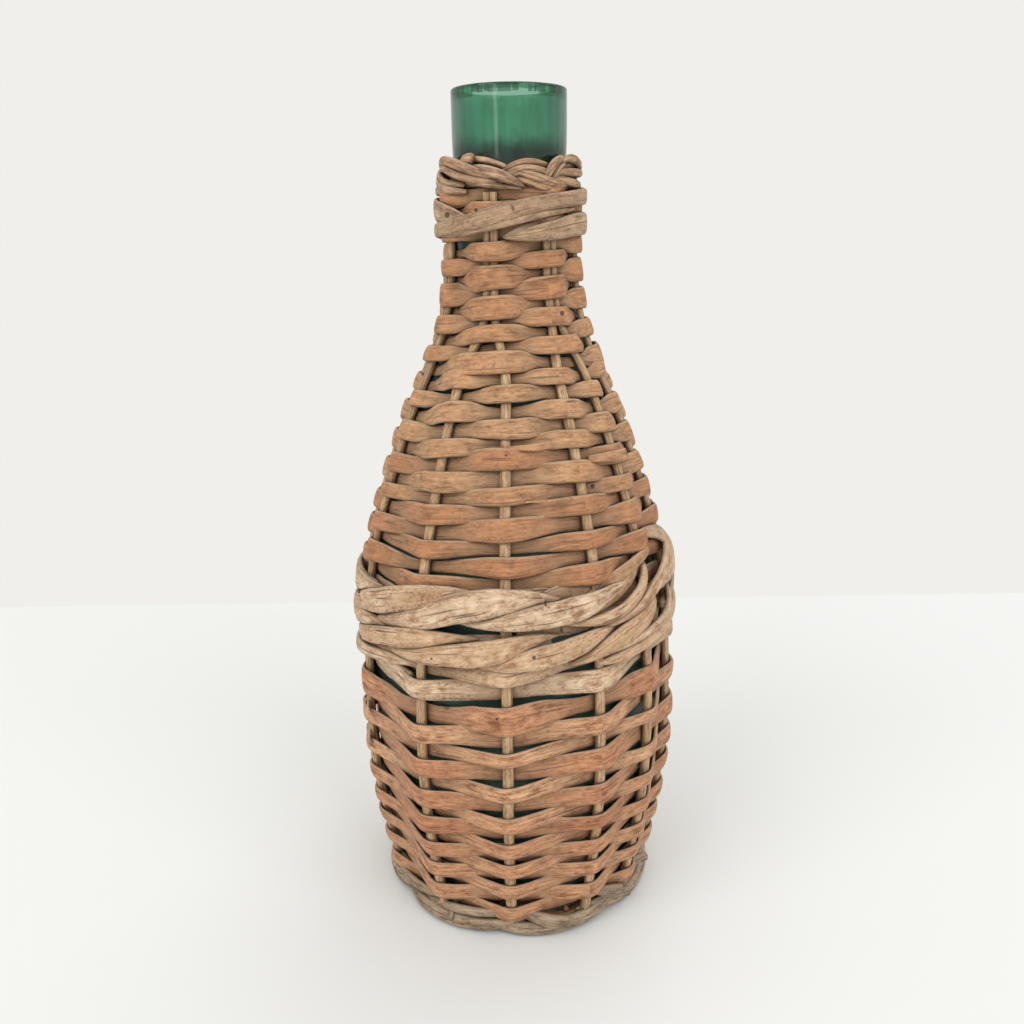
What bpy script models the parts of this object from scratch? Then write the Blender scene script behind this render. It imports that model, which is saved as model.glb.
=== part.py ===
"""Wicker demijohn: a green glass bottle in a jacket of woven willow.

The jacket is built the way a basket maker builds it. Round stakes stand up from the foot
border, lie along the glass and meet in pairs on the neck. Rows of split willow pass in front
of one stake and behind the next, each row the other way round from the row below it. Thick
rods are wound round the waist and the neck, and a plaited border closes the top.

Units are metres, +Z is up, and the origin is the middle of the foot on the table.
"""

import math

import bmesh
import bpy

# Glass bottle
BOTTLE_H = 0.360
GLASS_WALL = 0.0032
MOUTH_R = 0.0232
COLLAR_R = 0.0236
NECK_R = 0.0223
NECK_Z = 0.292
NECK_ROOT_R = 0.0250
NECK_ROOT_Z = 0.270
SHOULDER_R = 0.0458
SHOULDER_Z = 0.219
WAIST_R = 0.0640
WAIST_Z = 0.152
BELLY_R = 0.0666
BELLY_Z = 0.088
FLANK_R = 0.0612
FLANK_Z = 0.035
HEEL_R = 0.0575
HEEL_Z = 0.020
HEEL_BEND = 0.75
STANDING_R = 0.0460
PUNT_R = 0.0300
PUNT_H = 0.0060
PUNT_BEND = 0.6
LIP_ROUND = 0.0009

# Willow
CLEARANCE = 0.0003
WEAVER_T = 0.0021
STAKE_D_FOOT = 0.0040
STAKE_D_NECK = 0.0026
STAKE_SIDE = 0.0008
WIDE_GAP_DEG = 23.0

# Heights of the parts of the jacket, from the table up
FOOT_H = 0.0235
LOWER_H = 0.0925
PALE_H = 0.0200
WALE_LOWER_H = 0.0134
WALE_GAP = 0.0026
WALE_UPPER_H = 0.0127
UPPER_H = 0.1340
BAND_H = 0.0192
BORDER_H = 0.0162

# Rows of weaving in each part, and how much taller its last row is than its first
LOWER_ROWS = 13
LOWER_GRADE = 1.6
LOWER_FILL = 0.80
PALE_ROWS = 2
PALE_FILL = 0.72
UPPER_ROWS = 22
UPPER_GRADE = 0.78
UPPER_FILL = 0.92
NECK_ROWS = 9

# Wound rods, borders and base
WALE_T = 0.0052
BAND_T = 0.0038
BORDER_T = 0.0066
RING_ROUND = 0.0016
FOOT_R = 0.0670
FOOT_WIDTH = 0.0084
FOOT_ROUND = 0.0030
FOOT_UNDER_ROUND = 0.0051
BASE_LIFT = 0.0012
BASE_T = 0.0064
BASE_CROWN = 0.0016
BASE_FLAT_R = 0.0350
BASE_ROUND = 0.0016

# Where the stakes stand, in degrees round the bottle from the front, and their pairs on the neck
STAKE_DEG = (-35, -3.5, 29.5, 54, 77, 98, 118, 138, 158, 178, 198, 217, 236, 254, 271, 288)
PAIR_DEG = (-17.5, 36, 83, 128, 171, 211, 250, 290)
MERGE_LOW_Z = 0.250
MERGE_HIGH_Z = 0.268

# Where a row bends at a stake or a pair, as shares of its half width there
BENDS = {"neck": (-1, 0, 1), "shoulder": (-1, 1), "body": (0,)}

LATHE_STEPS = 32
STATION_PITCH = 0.020
FACET = 1 / math.cos(math.pi / LATHE_STEPS)

GLASS_FOOT_Z = BASE_LIFT + BASE_T + BASE_CROWN + CLEARANCE
PROFILE = (
    (HEEL_Z, HEEL_R),
    (FLANK_Z, FLANK_R),
    (BELLY_Z, BELLY_R),
    (WAIST_Z, WAIST_R),
    (SHOULDER_Z, SHOULDER_R),
    (NECK_ROOT_Z, NECK_ROOT_R),
    (NECK_Z, NECK_R),
    (BOTTLE_H, NECK_R),
)


def profile_slopes():
    """Slope of the glass at each profile point, chosen so that the curve never overshoots."""
    chords = [
        (r1 - r0) / (z1 - z0) for (z0, r0), (z1, r1) in zip(PROFILE, PROFILE[1:])
    ]
    inner = [
        2 * a * b / (a + b) if a * b > 0 else 0.0 for a, b in zip(chords, chords[1:])
    ]
    return [chords[0]] + inner + [chords[-1]]


SLOPES = profile_slopes()


def smooth_radius(z):
    """Outside radius of the glass on the smooth curve through the profile points."""
    z = min(max(z, PROFILE[0][0]), PROFILE[-1][0])
    i = max(k for k in range(len(PROFILE) - 1) if PROFILE[k][0] <= z)
    (z0, r0), (z1, r1) = PROFILE[i], PROFILE[i + 1]
    h = z1 - z0
    t = (z - z0) / h
    rise = t * t * (3 - 2 * t)
    return (
        r0
        + (r1 - r0) * rise
        + SLOPES[i] * h * t * (1 - t) ** 2
        - SLOPES[i + 1] * h * t * t * (1 - t)
    )


def graded(z, height, rows, grade):
    """(middle, pitch) of each row that fills a height, the last one grade times the first."""
    shares = [1 + (grade - 1) * i / max(rows - 1, 1) for i in range(rows)]
    found = []
    for share in shares:
        pitch = height * share / sum(shares)
        found.append((z + pitch / 2, pitch))
        z += pitch
    return found


STAKE_FOOT_OFF = 2 * CLEARANCE + WEAVER_T + STAKE_D_FOOT / 2
JACKET_FOOT_T = 3 * CLEARANCE + 2 * WEAVER_T + STAKE_D_FOOT
STAKE_LOW_Z = FOOT_H + CLEARANCE + SLOPES[0] * (STAKE_FOOT_OFF + STAKE_D_FOOT / 2)
LOWER_Z = FOOT_H + CLEARANCE + SLOPES[0] * JACKET_FOOT_T
PALE_Z = LOWER_Z + LOWER_H
WALE_LOWER_Z = PALE_Z + PALE_H
WALE_UPPER_Z = WALE_LOWER_Z + WALE_LOWER_H + WALE_GAP
UPPER_Z = WALE_UPPER_Z + WALE_UPPER_H
BAND_Z = UPPER_Z + UPPER_H
BORDER_Z = BAND_Z + BAND_H
STAKE_TOP_Z = BORDER_Z - CLEARANCE


def stations():
    """Heights of the bends in the glass and in the stakes, which both use, so they stay parallel."""
    fixed = [STAKE_LOW_Z, MERGE_LOW_Z, MERGE_HIGH_Z, STAKE_TOP_Z]
    found = []
    for low, high in zip(fixed, fixed[1:]):
        count = max(1, round((high - low) / STATION_PITCH))
        found += [low + (high - low) * i / count for i in range(count)]
    return found + [STAKE_TOP_Z]


STATIONS = stations()


def between_stations(values, z):
    """A value given at each station, read at any height."""
    if z <= STATIONS[0]:
        return values[0]
    for i in range(len(STATIONS) - 1):
        if z <= STATIONS[i + 1]:
            t = (z - STATIONS[i]) / (STATIONS[i + 1] - STATIONS[i])
            return values[i] + (values[i + 1] - values[i]) * t
    return values[-1]


GLASS_R = [smooth_radius(z) for z in STATIONS]


def lean(z):
    """How far the glass leans: the radius it gains for each metre up."""
    step = STATION_PITCH / 2
    return (smooth_radius(z + step) - smooth_radius(z - step)) / (2 * step)


LEANS = [lean(z) for z in STATIONS]


def jacket_point(z, stand_off):
    """(radius, height) of the point stand_off away from the glass at height z, square to it."""
    slope = between_stations(LEANS, z)
    tilt = math.hypot(1, slope)
    radius = between_stations(GLASS_R, z)
    return radius + stand_off / tilt, z - stand_off * slope / tilt


def stake_radius(z):
    """Half the thickness of a stake, which tapers from the foot to the neck."""
    t = (z - STAKE_LOW_Z) / (STAKE_TOP_Z - STAKE_LOW_Z)
    return (STAKE_D_FOOT + (STAKE_D_NECK - STAKE_D_FOOT) * t) / 2


def stake_stand_off(z):
    return CLEARANCE + WEAVER_T + CLEARANCE + stake_radius(z)


def under_stand_off():
    return CLEARANCE + WEAVER_T / 2


def over_stand_off(z):
    return stake_stand_off(z) + stake_radius(z) + CLEARANCE + WEAVER_T / 2


def outside_stand_off(z):
    """How far the outside of the stakes, with a clearance, stands off the glass."""
    return stake_stand_off(z) + stake_radius(z) + CLEARANCE


def stake_angle(stake, z):
    """Where a stake stands at a height, in radians: by itself on the body, in a pair on the neck."""
    pair, side = divmod(stake, 2)
    radius, _ = jacket_point(z, stake_stand_off(z))
    apart = math.asin((stake_radius(z) + CLEARANCE / 2) / radius)
    alone = math.radians(STAKE_DEG[stake])
    paired = math.radians(PAIR_DEG[pair]) + (apart if side else -apart)
    t = min(max((z - MERGE_LOW_Z) / (MERGE_HIGH_Z - MERGE_LOW_Z), 0), 1)
    return alone + (paired - alone) * t


def at(angle, radius, z):
    """A point round the bottle. Angle 0 faces -Y, the front, and grows towards +X."""
    return (radius * math.sin(angle), -radius * math.cos(angle), z)


def collection(name):
    made = bpy.data.collections.new(name)
    bpy.context.scene.collection.children.link(made)
    return made


def material(name, colour, roughness, alpha=1.0, transmission=0.0):
    made = bpy.data.materials.new(name)
    made.use_nodes = True
    shader = made.node_tree.nodes["Principled BSDF"]
    shader.inputs["Base Color"].default_value = (*colour, 1)
    shader.inputs["Roughness"].default_value = roughness
    shader.inputs["Alpha"].default_value = alpha
    shader.inputs["Transmission Weight"].default_value = transmission
    return made


def place(name, data, parts, finish):
    made = bpy.data.objects.new(name, data)
    data.materials.append(finish)
    parts.objects.link(made)
    return made


def turned(name, outline, parts, finish):
    """A turned solid. Its outline is (radius, height) points that run down the outer side.

    An outline that starts and ends on the axis is left open. Any other is closed into a ring.
    """
    mesh = bpy.data.meshes.new(name)
    count = len(outline)
    edges = [(i, i + 1) for i in range(count - 1)]
    if outline[0][0] > 0 or outline[-1][0] > 0:
        edges.append((count - 1, 0))
    mesh.from_pydata([(r, 0, z) for r, z in outline], edges, [])
    made = place(name, mesh, parts, finish)
    screw = made.modifiers.new("Lathe", "SCREW")
    screw.axis = "Z"
    screw.steps = LATHE_STEPS
    screw.render_steps = LATHE_STEPS
    screw.use_merge_vertices = True
    screw.merge_threshold = 0.00001
    screw.use_smooth_shade = True
    return made


def corner(centre_r, centre_z, round_r, start_deg, end_deg, steps=2):
    """Points of a rounded corner, as (radius, height)."""
    angles = [
        math.radians(start_deg + (end_deg - start_deg) * i / steps)
        for i in range(steps + 1)
    ]
    return [
        (centre_r + round_r * math.cos(a), centre_z + round_r * math.sin(a))
        for a in angles
    ]


def glass_bottle(parts, finish):
    """The blown bottle: punted base, round heel, long shoulder, collar under the border, mouth."""
    wall = [(smooth_radius(z), z) for z in STATIONS if z > HEEL_Z]
    wall.append((COLLAR_R, BORDER_Z + BORDER_H))
    wall.append((MOUTH_R, BOTTLE_H - LIP_ROUND))
    bend_r = STANDING_R + (HEEL_R - STANDING_R) * HEEL_BEND
    bend_z = (GLASS_FOOT_Z + HEEL_Z) / 2
    punt_z = GLASS_FOOT_Z + PUNT_H * PUNT_BEND
    inside_z = GLASS_FOOT_Z + GLASS_WALL
    inner = [(0, inside_z + PUNT_H), (PUNT_R, punt_z + GLASS_WALL)]
    inner += [(STANDING_R, inside_z), (bend_r - GLASS_WALL, bend_z + GLASS_WALL / 2)]
    inner += [(r - GLASS_WALL, z) for r, z in wall[:-1]]
    inner += [(MOUTH_R - GLASS_WALL, BOTTLE_H)]
    outer = [(MOUTH_R - LIP_ROUND, BOTTLE_H)] + wall[::-1]
    outer += [(HEEL_R, HEEL_Z), (bend_r, bend_z), (STANDING_R, GLASS_FOOT_Z)]
    outer += [(PUNT_R, punt_z), (0, GLASS_FOOT_Z + PUNT_H)]
    return turned("glass_bottle", inner + outer, parts, finish)


def neck_border(parts, finish):
    """The plait that closes the top of the jacket, round the glass and over the stakes' ends."""
    inner = (COLLAR_R + CLEARANCE) * FACET
    outer = inner + BORDER_T
    low, high = BORDER_Z, BORDER_Z + BORDER_H
    turn = min(RING_ROUND, BORDER_H / 3, BORDER_T / 2)
    outline = [(inner, low), (inner, high)]
    outline += corner(outer - turn, high - turn, turn, 90, 0)
    outline += corner(outer - turn, low + turn, turn, 0, -90)
    return turned("neck_border", outline, parts, finish)


def wound_ring(name, low, height, thickness, parts, finish):
    """Rods wound round the outside of the stakes, leaning as the glass leans there."""
    heights = [low, low + (height - CLEARANCE) / 2, low + height - CLEARANCE]
    wall = [jacket_point(z, outside_stand_off(z)) for z in heights]
    (low_r, low_z), (mid_r, mid_z), (top_r, top_z) = [(r * FACET, z) for r, z in wall]
    turn = min(RING_ROUND, height / 3)
    outline = [(low_r, low_z), (mid_r, mid_z), (top_r, top_z)]
    outline += corner(top_r + thickness - turn, top_z - turn, turn, 90, 0)
    outline += [(mid_r + thickness, mid_z)]
    outline += corner(low_r + thickness - turn, low_z + turn, turn, 0, -90)
    return turned(name, outline, parts, finish)


def foot_border(parts, finish):
    """The rope of rods round the foot. It stands on the flat of its underside."""
    inner = FOOT_R - FOOT_WIDTH
    outline = [(inner, BASE_LIFT), (inner, FOOT_H)]
    outline += corner(FOOT_R - FOOT_ROUND, FOOT_H - FOOT_ROUND, FOOT_ROUND, 90, 0)
    under = FOOT_UNDER_ROUND
    outline += corner(FOOT_R - under, under, under, 0, -90)
    outline += [(inner + BASE_LIFT, 0)]
    return turned("foot_border", outline, parts, finish)


def base_disc(parts, finish):
    """The woven base inside the foot border, crowned so that only the border stands on a table."""
    edge = (FOOT_R - FOOT_WIDTH) / FACET - CLEARANCE
    top = BASE_LIFT + BASE_T
    outline = [(0, top + BASE_CROWN), (BASE_FLAT_R, top + BASE_CROWN)]
    outline += [(edge - BASE_ROUND, top), (edge, top - BASE_ROUND)]
    outline += [(edge, BASE_LIFT + BASE_ROUND), (edge - BASE_ROUND, BASE_LIFT)]
    outline += [(BASE_FLAT_R, BASE_LIFT + BASE_CROWN), (0, BASE_LIFT + BASE_CROWN)]
    return turned("base_disc", outline, parts, finish)


def stake(number, parts, finish):
    """One willow rod, from the foot border up to the neck border."""
    name = f"stake_{number + 1:02d}"
    curve = bpy.data.curves.new(name, "CURVE")
    curve.dimensions = "3D"
    curve.bevel_depth = STAKE_D_FOOT / 2
    curve.bevel_resolution = 1
    curve.use_fill_caps = True
    spline = curve.splines.new("POLY")
    spline.points.add(len(STATIONS) - 1)
    for point, z in zip(spline.points, STATIONS):
        radius, height = jacket_point(z, stake_stand_off(z))
        point.co = (*at(stake_angle(number, z), radius, height), 1)
        point.radius = stake_radius(z) / (STAKE_D_FOOT / 2)
    return place(name, curve, parts, finish)


def row_width(z, pitch, fill):
    """Width of a weaver: a share of its row, where the row is narrowest."""
    rows = []
    for stand_off in (under_stand_off(), over_stand_off(z)):
        low = jacket_point(z - pitch / 2, stand_off)
        high = jacket_point(z + pitch / 2, stand_off)
        rows.append(math.dist(low, high))
    return fill * min(rows)


def crossings(part, row, z, width):
    """(angle, half width, whether in front) of each stake, or pair of stakes, that a row passes."""
    radius, _ = jacket_point(z, stake_stand_off(z))
    stakes = len(STAKE_DEG)
    angles = [stake_angle(k, z) for k in range(stakes)]
    below = [stake_angle(k, z - width / 2) for k in range(stakes)]
    above = [stake_angle(k, z + width / 2) for k in range(stakes)]
    reach = (stake_radius(z) + STAKE_SIDE) / radius
    found = []
    if part == "neck":
        for pair in range(stakes // 2):
            left, right = 2 * pair, 2 * pair + 1
            low = min(below[left], above[left]) - reach
            high = max(below[right], above[right]) + reach
            found.append(((low + high) / 2, (high - low) / 2, (row + pair) % 2 == 1))
        return found
    for k in range(stakes):
        sway = abs(above[k] - below[k]) / 2
        found.append((angles[k], reach + sway, (row + k) % 2 == 0))
    return found


def woven_row(name, part, row, z, width, parts, finish):
    """A closed ring of split willow, flat against each stake, in front of one and behind the next."""
    slope = between_stations(LEANS, z)
    tilt = math.hypot(1, slope)
    up = (slope / tilt * width / 2, width / 2 / tilt)
    out = (WEAVER_T / 2 / tilt, -slope * WEAVER_T / 2 / tilt)
    passes = crossings(part, row, z, width)
    over = jacket_point(z, over_stand_off(z))
    under = jacket_point(z, under_stand_off())
    middle = jacket_point(z, (over_stand_off(z) + under_stand_off()) / 2)
    path = []
    for i, (angle, half, in_front) in enumerate(passes):
        radius, height = over if in_front else under
        bends = [half * share for share in BENDS[part]]
        run = (bends[-1] - bends[0]) / 2 / max(len(bends) - 1, 1)
        for bend in bends:
            path.append((angle + bend, radius / math.cos(run), height))
        ahead = passes[(i + 1) % len(passes)]
        turn = 2 * math.pi if i == len(passes) - 1 else 0
        leave, arrive = path[-1][0], ahead[0] + turn + ahead[1] * BENDS[part][0]
        if part != "neck" and math.degrees(arrive - leave) > WIDE_GAP_DEG:
            path.append(((leave + arrive) / 2, *middle))
    corners = ((1, 1), (1, -1), (-1, -1), (-1, 1))
    shape = bmesh.new()
    rings = []
    for angle, radius, height in path:
        ring = []
        for side, rise in corners:
            r = radius + side * out[0] + rise * up[0]
            h = height + side * out[1] + rise * up[1]
            ring.append(shape.verts.new(at(angle, r, h)))
        rings.append(ring)
    for a, b in zip(rings, rings[1:] + rings[:1]):
        for j in range(4):
            k = (j + 1) % 4
            shape.faces.new((a[j], a[k], b[k], b[j]))
    bmesh.ops.recalc_face_normals(shape, faces=shape.faces)
    mesh = bpy.data.meshes.new(name)
    shape.to_mesh(mesh)
    shape.free()
    return place(name, mesh, parts, finish)


def weaving(parts, tan, brown, pale):
    """Every row of the jacket. Rows are counted from the neck down, as their crossings are."""
    upper = graded(UPPER_Z, UPPER_H, UPPER_ROWS, UPPER_GRADE)[::-1]
    for i, (z, pitch) in enumerate(upper):
        part, number = ("neck", i + 1) if i < NECK_ROWS else ("shoulder", i + 1 - NECK_ROWS)
        name = f"{part}_weaver_{number:02d}"
        woven_row(name, part, i + 1, z, row_width(z, pitch, UPPER_FILL), parts, tan)
    row = UPPER_ROWS + 1
    for i, (z, pitch) in enumerate(graded(PALE_Z, PALE_H, PALE_ROWS, 1)[::-1]):
        name = f"waist_weaver_{i + 1:02d}"
        width = row_width(z, pitch, PALE_FILL)
        woven_row(name, "body", row + i, z, width, parts, pale)
    row += PALE_ROWS
    lower = graded(LOWER_Z, LOWER_H, LOWER_ROWS, LOWER_GRADE)[::-1]
    for i, (z, pitch) in enumerate(lower):
        name = f"body_weaver_{i + 1:02d}"
        width = row_width(z, pitch, LOWER_FILL)
        woven_row(name, "body", row + i, z, width, parts, brown)


def main():
    for old in list(bpy.data.objects):
        bpy.data.objects.remove(old, do_unlink=True)
    parts = collection("wicker_demijohn")
    glass = material("green glass", (0.03, 0.21, 0.11), 0.05, 1.0, 1.0)
    tan = material("tan split willow", (0.36, 0.19, 0.08), 0.6)
    brown = material("brown split willow", (0.29, 0.13, 0.06), 0.6)
    pale = material("pale willow rod", (0.47, 0.33, 0.19), 0.65)
    glass_bottle(parts, glass)
    base_disc(parts, brown)
    foot_border(parts, pale)
    for number in range(len(STAKE_DEG)):
        stake(number, parts, pale)
    weaving(parts, tan, brown, pale)
    wound_ring("waist_wale_lower", WALE_LOWER_Z, WALE_LOWER_H, WALE_T, parts, pale)
    wound_ring("waist_wale_upper", WALE_UPPER_Z, WALE_UPPER_H, WALE_T, parts, pale)
    wound_ring("neck_band", BAND_Z + CLEARANCE, BAND_H - CLEARANCE, BAND_T, parts, pale)
    neck_border(parts, tan)


main()
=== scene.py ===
"""Looks of the wicker demijohn: old green glass in a jacket of weathered willow.

Every rod and every split strip of willow is swept along its own route round the bottle, in
metres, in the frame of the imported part. The strips carry their own coordinates (metres along
and across the grain), so that fibres, cracks and dirt follow each strip wherever it bends. Chance
comes from seeded draws, with a range of seeds for each kind of piece.
"""

import math

import bpy
import numpy as np
from mathutils import Matrix, Vector


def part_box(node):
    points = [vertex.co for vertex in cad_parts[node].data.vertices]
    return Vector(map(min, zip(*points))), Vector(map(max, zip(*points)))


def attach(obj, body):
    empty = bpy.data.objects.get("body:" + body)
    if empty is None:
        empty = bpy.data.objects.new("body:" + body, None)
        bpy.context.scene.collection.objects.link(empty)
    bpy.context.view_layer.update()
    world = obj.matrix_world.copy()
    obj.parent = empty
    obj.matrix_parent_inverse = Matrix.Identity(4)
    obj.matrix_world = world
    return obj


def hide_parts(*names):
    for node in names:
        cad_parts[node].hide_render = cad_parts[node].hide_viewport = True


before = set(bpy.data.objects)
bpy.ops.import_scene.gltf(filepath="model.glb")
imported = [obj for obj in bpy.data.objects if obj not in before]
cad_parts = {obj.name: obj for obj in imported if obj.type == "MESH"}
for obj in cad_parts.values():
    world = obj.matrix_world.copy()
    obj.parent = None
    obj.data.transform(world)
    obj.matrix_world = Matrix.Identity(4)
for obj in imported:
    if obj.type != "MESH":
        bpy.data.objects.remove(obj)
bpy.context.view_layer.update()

MM = 0.001

# Camera, as the photograph's: a phone held a little above the bottle's mouth
CAMERA_BACK = 0.415
CAMERA_UP = 0.310
CAMERA_PITCH_DEG = 17.2
CAMERA_ROLL_DEG = -0.8
PHOTO_PX = 1024
FOCAL_PX = 947
CENTRE_X_PX = 514.5
SENSOR_MM = 36

# A split strip's thickness, its gap to the glass, how far its middle stands off where it dives, and
# its room beside a stake
STRIP_T = 2.1 * MM
STRIP_GAP = 0.3 * MM
OFF_UNDER = STRIP_GAP + STRIP_T / 2
STAKE_SIDE = 0.8 * MM
# How far apart the points of rows, first and last, wound rods and stakes lie, and the sides of
# their sections
FINE_STEP = 0.6 * MM
ROW_STEP = 1.8 * MM
ROD_STEP = 1.3 * MM
STAKE_STEP = 1.6 * MM
STRIP_SIDES = 14
ROD_SIDES = 12
# Over what length the rows of the body and the neck, rods and stakes bend
BEND_BODY = 2.6 * MM
BEND_NECK = 1.7 * MM
BEND_ROD = 4.4 * MM
BEND_STAKE = 6.4 * MM

TURN = 2 * math.pi


def lerp(a, b, t):
    """The value that is a share of the way from one to another."""
    return a + (b - a) * t


def eased(t):
    """A share from 0 to 1 that starts and ends gently."""
    t = np.clip(t, 0, 1)
    return t * t * (3 - 2 * t)


def drift(distance, length, period, seed):
    """Smooth chance variation from -1 to 1 along a strip, which joins up after its length."""
    count = max(3, int(round(length / period)))
    knots = np.random.default_rng(seed).uniform(-1, 1, count)
    place = np.asarray(distance) / length * count
    whole = np.floor(place).astype(int)
    share = eased(place - whole)
    return lerp(knots[whole % count], knots[(whole + 1) % count], share)


# The glass, read from the frame: rings of points that lie further apart than this are two rings
RING_APART = 0.3 * MM
STAKE_RING_APART = 5 * MM


def rings_of(node, apart):
    """The points of a CAD node in rings, from the lowest up, split where heights lie apart."""
    spots = np.array([v.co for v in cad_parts[node].data.vertices])
    spots = np.unique(spots.round(6), axis=0)
    spots = spots[np.argsort(spots[:, 2])]
    return np.split(spots, np.where(np.diff(spots[:, 2]) > apart)[0] + 1)


def outer_rings(node):
    """(height, outside radius) of a turned CAD node, a row for each ring of its points."""
    rings = rings_of(node, RING_APART)
    return np.array([(r[:, 2].mean(), np.hypot(r[:, 0], r[:, 1]).max()) for r in rings])


GLASS_LOW, GLASS_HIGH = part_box("glass_bottle")
BOTTLE_H = GLASS_HIGH.z
GLASS_FOOT_Z = GLASS_LOW.z
# The wall's CAD rings start above this height
WALL_LOW_Z = 20.5 * MM
GLASS_WALL = 3.2 * MM
LIP_ROUND = 1.0 * MM
# How widely the CAD rings' corners are rounded off, and how close the profile's points lie
PROFILE_BLUR = 5.0 * MM
PROFILE_STEP = 0.5 * MM
# How far the wall is carried on past both ends, and how far the blur reaches, in steps
PROFILE_PAST = 20 * MM
BLUR_REACH = 30


def smooth_wall():
    """The wall's height, radius and lean each half millimetre, without the rings' corners."""
    rings = outer_rings("glass_bottle")
    z, r = rings[(rings[:, 0] > WALL_LOW_Z) & (rings[:, 0] < BOTTLE_H - MM)].T
    heights = np.arange(-PROFILE_PAST, BOTTLE_H + PROFILE_PAST, PROFILE_STEP)
    first = r[0] - (r[1] - r[0]) / (z[1] - z[0]) * PROFILE_PAST
    z = np.concatenate([[z[0] - PROFILE_PAST], z, [z[-1] + PROFILE_PAST]])
    rough = np.interp(heights, z, np.concatenate([[first], r, [r[-1]]]))
    reach = np.arange(-BLUR_REACH, BLUR_REACH + 1) * PROFILE_STEP
    weights = np.exp(-((reach / PROFILE_BLUR) ** 2) / 2)
    padded = np.pad(rough, BLUR_REACH, mode="edge")
    smooth = np.convolve(padded, weights / weights.sum(), mode="valid")
    return heights, smooth, np.gradient(smooth, heights)


WALL_Z, WALL_R, WALL_LEAN = smooth_wall()


def glass_r(z):
    """The glass's outside radius at a height."""
    return np.interp(z, WALL_Z, WALL_R)


def lean(z):
    """How much the glass's radius grows with height."""
    return np.interp(z, WALL_Z, WALL_LEAN)


def on_jacket(angle, z, off):
    """Points that stand off the glass by a distance square to it, from angles in radians."""
    slope = lean(z)
    tilt = np.hypot(1, slope)
    radius = glass_r(z) + off / tilt
    height = z - off * slope / tilt
    return np.stack([radius * np.sin(angle), -radius * np.cos(angle), height], -1)


def outward(points):
    """The direction that faces away from the glass at points near it."""
    radius = np.hypot(points[:, 0], points[:, 1])
    slope = lean(points[:, 2])
    tilt = np.hypot(1, slope)
    return np.stack(
        [points[:, 0] / radius / tilt, points[:, 1] / radius / tilt, -slope / tilt], -1
    )


# How the old jacket has settled: the rows climb to the right, seen from the front, and on the
# shoulder they sag at both sides
SETTLE_Z = np.array([0, 25, 60, 100, 140, 175, 205, 230, 260, 290, 330]) * MM
SETTLE = np.array([0, 0.6, 3.0, 5.0, 5.5, 4.0, 2.8, 2.2, 2.0, 2.2, 1.0]) * MM
SAG = np.array([0, 0, 0, 0, 0.5, 3.5, 5.4, 5.6, 3.6, 1.0, 0]) * MM
# The wander that neighbours share: how far, over what height and angle, and its first draw
WANDER = 0.5 * MM
WANDER_RISE = 18 * MM
WANDER_TURN = 0.6
WANDER_SEED = 900


def settled(angle, z):
    """Heights after the jacket has settled, with a little wander that neighbours share."""
    rise = np.interp(z, SETTLE_Z, SETTLE) * np.sin(angle)
    rise = rise - np.interp(z, SETTLE_Z, SAG) * np.sin(angle) ** 2
    turn = np.asarray(angle) % TURN
    level = np.asarray(z) / WANDER_RISE
    whole = np.floor(level).astype(int)
    wander = 0
    for row in np.unique(whole):
        share = eased(np.where(whole == row, level - row, 0))
        low, high = (drift(turn, TURN, WANDER_TURN, WANDER_SEED + row + k) for k in (0, 1))
        wander = wander + np.where(whole == row, lerp(low, high, share), 0)
    return z + rise + WANDER * wander


# Sweeping strips and rods


# A strip's section: how square its sides are, and how square and deep its domed face and its back
SQUARE_SIDE = 0.82
SQUARE_FACE, DEEP_FACE = 0.66, 0.98
SQUARE_BACK, DEEP_BACK = 0.5, 0.75
# How a strip's edges and thickness, and a rod, vary along it: (share, period mm, draw)
UPPER_EDGE = ((0.08, 16, 1), (0.03, 4.5, 4))
LOWER_EDGE = ((0.08, 21, 2), (0.03, 5.5, 5))
THICKNESS = ((0.10, 13, 3),)
ROD_SIZE = ((0.05, 24, 1),)
DRAWS = 7
# A strip's girth beside its breadth, and how far on in the grain the next strip starts, so that no
# two look alike
GRAIN_GIRTH = 2.2
GRAIN_APART = 0.377
GRAIN_REACH = 5.0


def section(kind):
    """Across and outward coordinates, each from -1 to 1, of the points round a strip or rod."""
    sides = ROD_SIDES if kind == "rod" else STRIP_SIDES
    turn = np.arange(sides) / sides * TURN
    across, out = np.cos(turn), np.sin(turn)
    if kind == "rod":
        return across, out
    across = np.sign(across) * np.abs(across) ** SQUARE_SIDE
    face, back = np.abs(out) ** SQUARE_FACE * DEEP_FACE, -np.abs(out) ** SQUARE_BACK * DEEP_BACK
    return across, np.where(out > 0, face, back)


def uneven(along, length, seed, waves):
    """Sizes beside the usual one along a strip."""
    return 1 + sum(
        share * drift(along, length, period * MM, DRAWS * seed + draw)
        for share, period, draw in waves
    )


def blurred(points, width, closed):
    """Points evenly spaced along a route, rounded off over a width given in steps."""
    reach = int(math.ceil(3 * width))
    steps = np.arange(-reach, reach + 1)
    weights = np.exp(-((steps / width) ** 2) / 2)
    weights /= weights.sum()
    if closed:
        padded = np.concatenate([points[-reach:], points, points[:reach]])
    else:
        first = 2 * points[:1] - points[reach:0:-1]
        last = 2 * points[-1:] - points[-2 : -reach - 2 : -1]
        padded = np.concatenate([first, points, last])
    columns = [np.convolve(padded[:, i], weights, mode="valid") for i in range(points.shape[1])]
    return np.stack(columns, -1)


def distances(route):
    """The gaps between a route's points, and the distance of each point along it."""
    gaps = np.linalg.norm(np.diff(route[:, :3], axis=0), axis=1)
    return gaps, np.concatenate([[0], np.cumsum(gaps)])


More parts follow.
